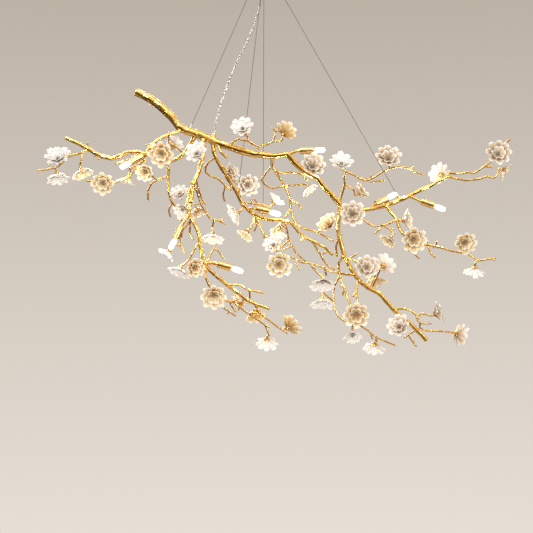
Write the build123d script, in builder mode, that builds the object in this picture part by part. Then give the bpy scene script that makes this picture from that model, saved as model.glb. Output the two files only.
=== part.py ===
from build123d import *
import os
from collections import namedtuple
from math import cos, pi, radians, sin, sqrt, tan

os.makedirs("parts", exist_ok=True)

# A branch-shaped pendant light: gold castings pinned together, porcelain blossoms, seven plug-in lamps.
# Lengths are millimetres. The origin is the middle of the canopy's ceiling face, +Z is up, +X runs along
# the branches and +Y points away from the viewer.

# Overall size
BRANCH_SPAN = 1514            # left twig tip to right twig tip
SPAN_PIXELS = 473             # the same span in the picture
PIXEL = BRANCH_SPAN / SPAN_PIXELS
VIEW_DISTANCE = 4000          # eye to the plane of the canopy's middle
EYE_DROP = 1026               # eye below the ceiling
EYE_COLUMN = 266.5            # picture column and row straight ahead of the eye
EYE_ROW = 266.5
CANOPY_COLUMN = 264           # picture column of the canopy's middle

# Canopy and ceiling fixing
CANOPY_RADIUS = 110
CANOPY_HEIGHT = 36
CANOPY_WALL = 1.6
CANOPY_EDGE_ROUND = 8
BRACKET_LENGTH = 130
BRACKET_WIDTH = 26
BRACKET_THICKNESS = 3
FIXING_SPACING = 90
FIXING_HOLE_RADIUS = 2.6
NIPPLE_RADIUS = 6
NIPPLE_BORE_RADIUS = 3.4
NIPPLE_INSET = 0.5            # top of the nipple below the ceiling
NIPPLE_IN_HUB = 10
NIPPLE_WINDOW_TOP = -9
NIPPLE_WINDOW_BOTTOM = -30
NIPPLE_WINDOW_WIDTH = 5
LOCKNUT_RADIUS = 10.5
LOCKNUT_HEIGHT = 6
TERMINAL_LENGTH = 26
TERMINAL_WIDTH = 16
TERMINAL_HEIGHT = 14
TERMINAL_START = 30
EARTH_SCREW_RADIUS = 2
EARTH_SCREW_PLACE = -26
THREAD_CLEARANCE = 0.06

# Cable hub and its grippers
HUB_RADIUS = 24
HUB_HEIGHT = 18
GRIPPER_CIRCLE = 9            # radius of the ring of cables
GRIPPER_RADIUS = 4
GRIPPER_IN_HUB = 6
GRIPPER_DROP = 10             # gripper below the hub
PLUNGER_RADIUS = 2.2
PLUNGER_LENGTH = 14
PLUNGER_DROP = 6              # plunger below the gripper
PLUNGER_TRAVEL = 2
PLUNGER_CLEARANCE = 0.12
CABLE_RADIUS = 0.8
CABLE_HOLE_RADIUS = 0.95
CABLE_MOUTH_RADIUS = 2.0
CABLE_MOUTH_DEPTH = 2.5
CABLE_TOP = -40

# Power cord and its glands
CORD_RADIUS = 2.5
CORD_HOLE_RADIUS = 2.6
CORD_TOP = -50
LEAD_RADIUS = 1.4
HUB_GLAND_SHANK_RADIUS = 3.9
HUB_GLAND_SHANK = 6
HUB_GLAND_BODY_RADIUS = 4.5
HUB_GLAND_TIP_RADIUS = 3.3
HUB_GLAND_DROP = 18
TRUNK_GLAND_RADIUS = 5.5
TRUNK_GLAND_TIP_RADIUS = 3.6
TRUNK_GLAND_HEIGHT = 9
BOSS_STAND = 3                # flat boss above the bark for a gland or an anchor

# Branch castings
WAIST = 0.93                  # a run is this much thinner midway than at its knots
WAIST_RUN = 9                 # runs longer than this get a waist
COLLAR_STAND = 5              # flat of a collar beyond the parent's bark
COLLAR_LIP = 0.7              # collar wider than the bough it holds
SPIGOT_SHARE = 0.64           # spigot radius to bough radius
SPIGOT_LENGTH = 9
SPIGOT_CLEARANCE = 0.1
GRUB_RADIUS = 1.2
GRUB_RECESS = 0.4
TRUNK_BORE_RADIUS = 5
BOUGH_BORE_RADIUS = 2.1
TRUNK_LEAD_RADIUS = 3
LAMP_BORE_RADIUS = 1.9
LAMP_LEAD_RADIUS = 1.15
PEDICEL_ROOT_RADIUS = 2.5
PEDICEL_TIP_RADIUS = 2.1
PEDICEL_STRAIGHT = 18

# Lamps
SLEEVE_RADIUS = 11
SLEEVE_WALL = 1.2
SLEEVE_LENGTH = 42
SLEEVE_PLATE = 2
LAMP_STEM_RADIUS = 4.4
LAMP_STEM_STRAIGHT = 7
STEM_NIPPLE_RADIUS = 3.6
STEM_NIPPLE_LENGTH = 8
STEM_NUT_RADIUS = 7.2
STEM_NUT_HEIGHT = 4
HOLDER_CLEARANCE = 0.2
HOLDER_BACK = 10
PIN_SPACING = 9
PIN_RADIUS = 1.05
PIN_LENGTH = 11
PIN_HOLE_RADIUS = 1.25
PIN_HOLE_DEPTH = 13
BULB_BASE_RADIUS = 7.5
BULB_BASE_HEIGHT = 6
BULB_RADIUS = 8.4
BULB_HEIGHT = 32

# Cable anchors on the branches
ANCHOR_RADIUS = 3
ANCHOR_TIP_RADIUS = 1.7
ANCHOR_HEIGHT = 10
ANCHOR_SHANK_RADIUS = 1.25
ANCHOR_SHANK = 4
ANCHOR_POCKET = 6
ANCHOR_BOSS_RADIUS = 3.6

# Blossoms, three sizes
LARGE = 43
MEDIUM = 38
SMALL = 32
BLOSSOM_MIDDLE = 12           # seat of the stem to the blossom's middle
CALYX_HEIGHT = 6
CALYX_FOOT_RADIUS = 3
CALYX_TOP_RADIUS = 7
STUD_RADIUS = 1.4
STUD_HOLE_RADIUS = 1.5
STUD_LENGTH = 13
PETAL_THICKNESS = 1.6
OUTER_PETALS = 8
INNER_PETALS = 6
PETAL_OVERLAP = 1.05         # petal's width to its share of the ring
INNER_SHARE = 0.56           # inner whorl's radius to the outer one's
OUTER_RISE = 0.5             # rim above foot, to the whorl's radius
INNER_RISE = 0.66
WHORL_FLAT = 7.5              # flat foot of a whorl
INNER_FLAT = 6
BEAD_RADIUS = 4.6
BEAD_HEIGHT = 8
BEAD_HOLE_DEPTH = 5

Limb = namedtuple("Limb", "radii route")
Knot = namedtuple("Knot", "place radius")
Graft = namedtuple("Graft", "root axis reach radius")
Lamp = namedtuple("Lamp", "bough stem back front")
Blossom = namedtuple("Blossom", "bough spot facing size tone")

# Routes are read from the picture: column, row, then depth behind the canopy's plane in millimetres.
# The first route of a bough is its main line, which starts on its parent. The others are twigs cast in
# one piece with it. A start without a depth lies on the wood already grown.
BOUGHS = {
    "trunk": [
        Limb((13, 13.5, 13.2, 12.5, 12, 10, 9, 8.8, 8.5), [
            (136, 92, 20), (149, 98, 16), (160, 106, 12), (171, 116, 6), (179, 127, 2), (187, 131, 0),
            (197, 134, -2), (207, 138, -5), (221, 144, -8), (239, 150, -10), (254, 154, -13), (264, 155, -15),
            (275, 156, -17), (287, 154, -20), (296, 164, -20), (305, 172, -20), (318, 179, -20),
            (326, 189, -20), (333, 196, -20), (341, 206, -20)]),
        Limb((4.4, 3.6), [(216, 142), (221, 152, -22), (227, 158, -26)]),
        Limb((2.8, 2.2), [(305, 172), (314, 167, -32), (327, 166, -30)]),
    ],
    "left_bough": [
        Limb((4.2, 4.2, 4.6, 6.2, 6.4, 6, 5.4), [
            (184, 131), (164, 136, -28), (157, 140, -38), (151, 145, -48), (147.5, 151, -54), (146, 154, -56),
            (136.5, 151.5, -56), (128, 152.3, -54), (120.5, 156, -50), (111.6, 158.7, -46),
            (102.7, 156.8, -42),
            (95, 153, -40), (88, 149, -38), (81.5, 145, -36), (73, 141, -34), (65.4, 138, -32)]),
        Limb((2.6, 2.3), [(88, 149), (87.4, 142.5, -40)]),
        Limb((2.6, 2.2), [(99, 155.5), (99, 160, -43)]),
        Limb((3, 2.6, 2), [
            (88.5, 149.5), (82, 152.7, -45), (76, 154.2, -46), (70, 155.6, -44), (64, 161, -40),
            (58, 166.5, -40),
            (48.2, 169.5, -44), (37.7, 170.4, -46)]),
        Limb((2, 1.8), [(50, 168.8), (48.7, 164.2, -40)]),
        Limb((2.6, 2.2), [(82, 152.7), (82.1, 156, -46), (81.2, 161.3, -48)]),
        Limb((3.3, 2.9, 2.4, 2.2), [
            (147, 152), (143.5, 161, -48), (138.4, 165, -54), (133.3, 170.8, -66), (128.8, 177.8, -78),
            (122.4, 180.4, -80),
            (115.4, 182.3, -78), (104, 182, -72), (93, 181.4, -70), (86.5, 180.5, -70)]),
        Limb((2.4, 2), [(137, 166), (130, 167.6, -62)]),
        Limb((2.6, 2.3), [(145, 157.2), (145.4, 161.9, -58), (141.9, 167.6, -66)]),
        Limb((2.6, 2.1, 1.8), [(139.5, 152.3), (131, 158.5, -44), (115.4, 163.8, -40)]),
        Limb((2.7, 2.2), [(168.7, 135), (169, 142.1, -18), (176.6, 147.2, -10), (182.4, 152.3, -5)]),
        Limb((2.4, 2.2), [(149.5, 147.5), (146.5, 144.6, -52)]),
    ],
    "back_left_bough": [
        Limb((6.3, 5.6, 5, 3.8, 3.4, 2.6), [
            (196, 135), (187, 150.4, 36), (181, 156.5, 50), (174, 160.7, 60), (168.2, 162, 66),
            (168.7, 169.5, 68),
            (168.3, 176, 68), (168, 185, 66), (168.8, 192, 62), (171, 200.5, 58), (176.4, 207.8, 56),
            (182, 221, 56)]),
        Limb((3, 2.6, 2.2), [(168.3, 176), (157.3, 180, 70), (151.6, 183.2, 72), (148, 190, 74),
            (148, 200.6, 76)]),
        Limb((2.3, 2), [(157.3, 180), (151, 175, 66)]),
        Limb((2.4, 2.4), [(168.8, 192), (172.5, 193.5, 56)]),
        Limb((2.4, 2), [(171.5, 203), (168.7, 209.7, 60), (170.6, 216.8, 62)]),
    ],
    "drooping_left_bough": [
        Limb((6.5, 6.3, 6, 6, 6, 5.6, 4.9), [
            (203, 136.5), (203.5, 156, -36), (201, 163, -42), (199, 170, -46), (197, 176, -50),
            (193.5, 183, -54),
            (192, 191, -57), (191, 199.5, -60), (188.8, 208.7, -64), (189, 215.4, -68), (193.6, 222.1, -74),
            (197.4, 228.8, -80), (199.3, 236.5, -86), (200.3, 245.1, -92), (202.2, 254.6, -98),
            (205.1, 264.2, -104), (210.8, 270.9, -108), (219.4, 278.6, -112), (228, 285.3, -115),
            (237.6, 292.9, -118), (247.2, 300.6, -120), (258.7, 305.4, -122), (269.2, 308.7, -124)]),
        Limb((3.1, 2.7, 2.1), [
            (193.5, 183), (196.4, 190, -48), (199.3, 198, -44), (201.5, 205, -42), (205.1, 211.6, -44),
            (210.8, 219.2, -48), (222.3, 221.1, -46)]),
        Limb((2.1, 1.9), [(217, 220.2), (225.2, 224.5, -44)]),
        Limb((2.6, 2), [(196.7, 179), (199, 191, -30), (202, 199, -24), (205.4, 204.5, -20)]),
        Limb((2.8, 2.2), [(193.5, 183), (188.6, 191.2, -64), (187.5, 200, -72), (185.5, 205, -76)]),
        Limb((2.2, 2.2), [(193.5, 183), (189.6, 182, -58)]),
        Limb((2.8, 2.2), [(206, 262), (208.9, 260, -98), (210.8, 253.7, -90), (214.6, 247, -80)]),
        Limb((1.9, 1.8), [(213.8, 248.4), (219.4, 251.8, -78), (223.3, 258.5, -76)]),
        Limb((3, 2.3), [
            (199.5, 242), (196.5, 245.1, -96), (191.7, 253.7, -100), (188.8, 259.4, -102),
            (184, 264.2, -104)]),
        Limb((2.3, 2), [(188.8, 259.4), (192.6, 269, -98), (196.5, 277.6, -96)]),
        Limb((2.3, 2), [(186.5, 220), (189.8, 232.6, -62), (193.1, 239.8, -58)]),
        Limb((2.6, 2.2, 2), [
            (185.5, 221), (182.5, 230, -58), (181.1, 237.4, -54), (181.1, 245.1, -56), (185, 253.7, -70)]),
        Limb((2.9, 2.4, 2), [
            (229, 285.8), (231.9, 284.3, -120), (240.5, 285.3, -126), (247.2, 290, -130), (254.8, 291, -132),
            (263.4, 292.9, -134)]),
        Limb((2, 2), [(249.5, 290.2), (250, 298.7, -126)]),
        Limb((2.7, 2.3, 1.9), [
            (253.8, 304), (259.6, 313, -118), (265.3, 317.6, -116), (271, 322.1, -116), (279.8, 328.3, -118),
            (287.5, 333.6, -122)]),
        Limb((2.2, 2.1), [(282, 330.5), (284.4, 327.9, -112)]),
    ],
    "lower_left_twig": [
        Limb((3.4, 3.1, 2.8, 2.5, 2.2), [
            (205.5, 265), (206, 278, -122), (209, 285, -124), (215, 294, -126), (224, 300, -128),
            (233, 301.5, -136),
            (244.3, 311.1, -142), (249.1, 314, -144), (257.7, 319.6, -146), (265.4, 325.3, -148),
            (269.2, 334.9, -150)]),
        Limb((2.2, 2), [(233, 301.5), (237.6, 299.6, -142)]),
        Limb((2.2, 1.9), [(229, 301), (235.7, 312.1, -126)]),
        Limb((2.2, 1.9), [(216, 295), (221, 306, -122), (235.7, 316, -124)]),
        Limb((2, 1.8), [(249.1, 314), (254.2, 312, -150), (258.8, 315.5, -156)]),
        Limb((2, 1.8), [(265.4, 325.3), (270, 327.3, -152)]),
    ],
    "middle_bough": [
        Limb((6.5, 6.2, 5.8, 5.4, 5.2, 4.9, 4.4), [
            (212, 140.5), (213.5, 151, 20), (216.5, 159, 22), (221.7, 168.3, 20), (227.3, 177.4, 18),
            (233.5, 187.1, 16), (238.6, 196.3, 16), (242.5, 204.9, 18), (250, 211.8, 22), (259.5, 217.3, 26),
            (269, 219.5, 28), (281.5, 220, 26), (288, 221.5, 24), (293.1, 225, 22), (298.9, 232.5, 18),
            (306.5, 238.3, 14), (316.1, 243, 10), (325.7, 247.8, 6), (332.8, 255, 4)]),
        Limb((2.9, 2.6, 2.4), [
            (215, 157.5), (208, 162.7, 28), (205.4, 167, 32), (205.6, 171.8, 34), (210.5, 175.9, 36),
            (218.7, 179, 34), (224.8, 185.1, 30), (231, 190.2, 22)]),
        Limb((2.2, 2), [(224.8, 185.5), (223, 194.3, 34), (224.8, 201.4, 36)]),
        Limb((2.5, 2.2), [(220.7, 166), (224.8, 167.5, 2), (228, 172, -6), (232.4, 180, -12),
            (239.1, 185.1, -14)]),
        Limb((2.4, 2.2), [(239, 197), (243.7, 192.8, 8)]),
        Limb((2.5, 2), [(241.5, 201.5), (251.3, 204, 16), (262.6, 204.5, 16)]),
        Limb((2, 1.9), [(251.8, 204.5), (251.3, 199, 6)]),
        Limb((2, 1.9), [(258.5, 205), (253.9, 198.6, 4)]),
        Limb((2.8, 2.2), [(254.8, 215), (252.9, 223, 18), (250.5, 228, 12)]),
        Limb((2.4, 2), [(255.5, 216), (257, 224, 34), (254, 231.5, 36)]),
        Limb((2.7, 2.2), [(256.5, 216.5), (261.5, 230.7, 8), (266, 236, -4), (269.5, 239, -10)]),
        Limb((2, 1.8), [(263, 232), (264.9, 239.7, 8)]),
        Limb((2.8, 2.4, 2), [
            (285.5, 221), (279.7, 223, 6), (275, 228.7, -4), (274.2, 232.5, -8), (277.8, 239.2, -14),
            (280.7, 245.9, -20), (281.7, 249.8, -24)]),
        Limb((2.9, 2.4, 2), [
            (284, 221), (287.4, 231.6, 42), (288.4, 239.2, 46), (292.2, 245, 46), (295.1, 251.7, 44),
            (299.8, 256.4, 42), (305.6, 261.2, 40)]),
        Limb((2, 1.8), [(288.4, 240), (282, 246.5, 42)]),
        Limb((2, 1.8), [(292.5, 246), (287.4, 247.8, 38), (282.6, 250.7, 36)]),
        Limb((2.9, 2.5, 2.2), [
            (310.4, 241), (316.1, 247.8, 26), (319.9, 253.6, 32), (323.8, 260.3, 36), (329.5, 267, 38),
            (334.3, 269.8, 38)]),
        Limb((2.1, 1.9), [(320.5, 254.5), (327, 252.1, 40)]),
        Limb((2.2, 2), [(304, 236.5), (301, 241, 10)]),
    ],
    "upper_twig": [
        Limb((3.2, 2.8, 2.5, 2), [
            (228, 146), (238, 139, -24), (247.7, 140.7, -28), (254, 144.5, -28), (258.3, 146.5, -28),
            (262, 145, -28), (267.8, 144.5, -28), (272.6, 141.7, -28), (275, 135.9, -28), (275.5, 131.1, -28),
            (272.6, 127.3, -28)]),
        Limb((2.2, 2), [(247.7, 140.7), (247.5, 136, -28)]),
        Limb((2.3, 2), [(272.6, 141.7), (281.2, 140.7, -30), (283, 138, -32)]),
        Limb((2.2, 2), [(275.5, 131.1), (278, 130.2, -29)]),
        Limb((2.2, 2.2), [(258.3, 146.5), (258.3, 149.5, -30)]),
    ],
    "back_centre_bough": [
        Limb((4.2, 3.8, 3.4, 2.8, 2.3), [
            (272, 156), (272, 166, 24), (276.4, 172.5, 38), (281.2, 180, 50), (285, 186.6, 60),
            (288.9, 194.3, 70),
            (290.3, 201, 76), (290.3, 208.6, 80), (293.1, 217.2, 78), (297, 224.9, 72), (304.6, 228.7, 66),
            (313.2, 230.6, 60), (318, 232.1, 56), (325.7, 237.3, 50), (333.3, 241.1, 42)]),
        Limb((2.8, 2.4, 2.2), [(272, 166), (266.5, 172, 46), (261.1, 179.9, 54), (266, 185.7, 56),
            (273.6, 188.5, 56)]),
        Limb((2.3, 2), [(272.5, 188), (279, 187.3, 46), (287, 185.7, 38), (301.3, 184.7, 36)]),
        Limb((2.6, 2.2), [
            (272.5, 167.5), (275.5, 171, 22), (283.1, 173.2, 16), (292.7, 171.8, 14), (301.3, 174.2, 16),
            (308, 180.9, 20)]),
        Limb((2.3, 2), [(290.3, 200), (296.5, 201.9, 74), (301.3, 208.6, 72)]),
        Limb((2.2, 2), [(290.3, 208.6), (287.5, 213, 76), (285.5, 217.2, 70)]),
        Limb((2.3, 2), [(318, 232.1), (323.8, 229.2, 46)]),
    ],
    "right_bough": [
        Limb((7, 7, 6.8, 6.2, 5.4, 3.8, 3.2, 2.6), [
            (341, 206), (361.6, 210.5, -12), (373, 208.5, -8), (384.5, 205.8, -2), (392.2, 202.8, 3),
            (402.7, 199, 10), (411.3, 194.5, 16), (420.9, 189.6, 22), (430.5, 185.4, 28), (440, 180, 34),
            (447, 176.4, 40), (457, 178.6, 44), (465.2, 180.2, 46), (475.9, 179.6, 48), (480.4, 178.5, 48),
            (487.5, 176.3, 50), (493.8, 178, 52), (498, 173, 54)]),
        Limb((3.7, 3.2, 2.8, 2.4, 1.8), [
            (447, 176.4), (448.5, 172.7, 46), (455.4, 173.6, 58), (461.6, 173.6, 62), (468, 171.8, 64),
            (473.2, 173.4, 66), (477.7, 170.9, 68), (484, 166.4, 70), (491.1, 161.1, 70), (499, 151, 66),
            (504.5, 143.2, 62), (510.3, 138.8, 58)]),
        Limb((2.2, 2), [(484, 166.6), (492.9, 167.3, 76)]),
    ],
    "upper_right_bough": [
        Limb((3.4, 3, 2.8, 2.6, 2.3, 2, 1.8), [
            (339, 203.5), (343.2, 190, -26), (344.8, 184, -28), (344.4, 177, -30), (346, 171.8, -32),
            (353.9, 175.1, -34), (359.7, 178.9, -36), (365.4, 180.8, -38), (371.1, 178.9, -40),
            (375, 177, -40),
            (381.7, 172.2, -40), (390, 168, -38), (397.9, 166.4, -36), (406.6, 167.4, -34),
            (412.3, 170.3, -32),
            (417.1, 172.7, -30), (423.8, 174.6, -28)]),
        Limb((2.4, 2.1), [(344.8, 184), (349.1, 186.6, -24), (353.5, 189.2, -20)]),
        Limb((2.1, 1.9), [(366, 180.8), (371.1, 182, -34), (382.6, 180.3, -30)]),
        Limb((2, 1.9), [(371.1, 178.9), (371.1, 175, -42)]),
        Limb((1.9, 1.8), [(411, 169.5), (413.8, 166.2, -30)]),
    ],
    "lower_right_bough": [
        Limb((5.4, 4.8, 3.8, 3.2, 2.8, 2.4, 2), [
            (386, 205.5), (392, 213.4, -16), (396.6, 219, -26), (398.5, 226, -36), (402, 233, -46),
            (410, 239.5, -54), (419, 243, -60), (427, 245, -66), (436, 246.8, -68), (443.8, 248.3, -68),
            (450.1, 250.7, -66), (461, 252.7, -64), (469, 254.6, -62), (473.6, 257.9, -60),
            (478.8, 260.5, -58),
            (487.4, 259.3, -56), (495.4, 258.2, -54)]),
        Limb((3, 2.6, 2.4), [
            (396.6, 219), (390.3, 223, -36), (382.8, 225.4, -42), (374.2, 226.3, -46), (369, 224, -50),
            (362.1, 218.5, -56)]),
        Limb((2.2, 1.9), [(382.3, 225.5), (379, 230, -44), (374.8, 233.5, -46)]),
        Limb((2.2, 1.9), [(382.5, 225.5), (387.4, 228, -34), (393.7, 229.4, -24)]),
        Limb((2.2, 2), [(435, 246.5), (437.2, 241, -70)]),
        Limb((2.2, 1.9), [(427, 245), (431.2, 253.6, -72), (435.5, 257.9, -72)]),
        Limb((2.2, 2), [(408, 238), (408.4, 251, -44)]),
        Limb((2.2, 1.9), [(412, 240.5), (413.8, 253.6, -52), (419.3, 258.5, -56)]),
    ],
    "right_drooping_bough": [
        Limb((6.8, 6.8, 7, 7, 7, 7), [
            (340.5, 205.5), (338.3, 220, -26), (338, 228.7, -30), (339.1, 236.4, -33), (341.5, 245, -36),
            (344.3, 255.5, -40), (348, 263, -46), (352, 270, -52), (356.5, 277, -58), (361.5, 282.5, -64),
            (368.7, 288, -70), (379.5, 293.5, -76), (386.5, 301.5, -80), (394.3, 310, -84), (402, 317, -88),
            (410.6, 323.5, -92), (418.2, 331.7, -96), (426.8, 340.3, -100)]),
        Limb((3.4, 2.8), [(338.6, 236), (336, 246, -22), (337, 256.4, -14)]),
        Limb((2.4, 2.1), [(346, 259.5), (349.2, 258.8, -58), (356.8, 253.5, -66)]),
        Limb((2.1, 2), [(349.2, 258.8), (355.4, 260.6, -66)]),
        Limb((3, 2.5), [(357.2, 278.5), (357, 288, -74), (356.8, 295, -84), (358, 303, -92)]),
        Limb((2.1, 2), [(356.9, 290), (352.8, 296.3, -84)]),
    ],
    "low_centre_twig": [
        Limb((3.6, 3.3, 3, 2.7, 2.4, 2.1), [
            (344, 254.5), (338.8, 263, -14), (338.5, 267, -12), (339.5, 272.5, -14), (341.2, 279.8, -20),
            (342.9, 284.5, -26), (344.3, 288, -32), (346, 294, -42), (348.2, 299.5, -52), (351, 306, -64),
            (354, 316, -78), (358.5, 324.1, -86), (369.4, 331.7, -92), (375.9, 337.1, -94),
            (385.6, 341.4, -96),
            (395.4, 345.2, -98)]),
        Limb((2.1, 2), [(344.3, 288), (342.3, 295.4, -24)]),
        Limb((2.8, 2.5, 2.2), [
            (339.9, 275), (335, 284.5, -8), (333.3, 291.8, -8), (333.8, 300.4, -14), (334.5, 308.1, -24),
            (338.1, 316.7, -40), (344.8, 321.5, -56)]),
        Limb((2, 1.9), [(370, 332.2), (372.6, 339.3, -84)]),
        Limb((2, 1.9), [(376, 337.1), (377, 341.4, -84)]),
        Limb((2.2, 1.9), [(354, 316.5), (352.5, 328, -70), (352, 334, -66)]),
    ],
    "long_low_twig": [
        Limb((3.2, 2.9, 2.6, 2.3), [
            (355, 275), (346, 274.4, -76), (336, 272.4, -90), (328.5, 270.8, -96), (321.8, 266.5, -102),
            (316.1, 265, -106), (309.4, 263.1, -110), (302.7, 262.7, -113), (297, 259.3, -115),
            (289.3, 256.4, -117), (281.7, 254.3, -118), (276, 250.5, -118), (272.1, 247, -116)]),
        Limb((2.1, 1.9), [(297, 259.5), (297.3, 263.1, -118), (298.9, 269.8, -122)]),
        Limb((2.4, 2.1), [(310, 263.3), (314.2, 268.9, -114), (319, 274, -118)]),
        Limb((2.1, 1.9), [(324.7, 268), (326.5, 276, -96)]),
    ],
    "right_tip_twig": [
        Limb((3, 2.7, 2.4, 2), [
            (393, 308.5), (404, 308.5, -70), (411.7, 311.1, -66), (416.5, 315.4, -66), (417.1, 319.7, -68),
            (420.3, 323, -70), (425, 323.5, -70), (431.2, 323.5, -68)]),
        Limb((2.3, 2.1), [(416.5, 315.4), (421.4, 313.4, -66), (428, 314.8, -68)]),
        Limb((2.4, 2.1, 1.9), [
            (420.3, 323), (419.3, 327.3, -66), (414.9, 330.6, -60), (408.4, 334.9, -58), (411.7, 340.3, -58),
            (416, 346.3, -58)]),
        Limb((2, 1.9), [(408.4, 334.9), (404.6, 338, -60)]),
        Limb((2.4, 2.2), [(419.3, 327.3), (424, 330.6, -58), (430.1, 330.6, -60), (445.3, 331.7, -66)]),
    ],
}

PARENT = {
    "left_bough": "trunk",
    "back_left_bough": "trunk",
    "drooping_left_bough": "trunk",
    "middle_bough": "trunk",
    "upper_twig": "trunk",
    "back_centre_bough": "trunk",
    "right_bough": "trunk",
    "upper_right_bough": "trunk",
    "right_drooping_bough": "trunk",
    "lower_right_bough": "right_bough",
    "lower_left_twig": "drooping_left_bough",
    "low_centre_twig": "right_drooping_bough",
    "long_low_twig": "right_drooping_bough",
    "right_tip_twig": "right_drooping_bough",
}

LAMPS = [
    Lamp("left_bough", [(143.3, 153.3)], (141.5, 156.5, -68), (129.5, 162.5, -86)),
    Lamp("trunk", [(287, 154)], (300, 150.7, -24), (313.8, 150.3, -28)),
    Lamp("middle_bough", [(247, 209)], (256.7, 208.7, -2), (271.1, 212, -8)),
    Lamp("right_bough", [(370, 209)], (376, 204, 26), (389.7, 197.4, 40)),
    Lamp("right_bough", [(408.5, 196)], (421.5, 201.5, 4), (434.3, 205.7, -2)),
    Lamp("drooping_left_bough", [(188.9, 214)], (181.1, 226.9, -84), (175.4, 239.3, -94)),
    Lamp("drooping_left_bough", [(204.8, 263)], (218.5, 264.2, -116), (231.9, 268, -120)),
]

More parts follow.
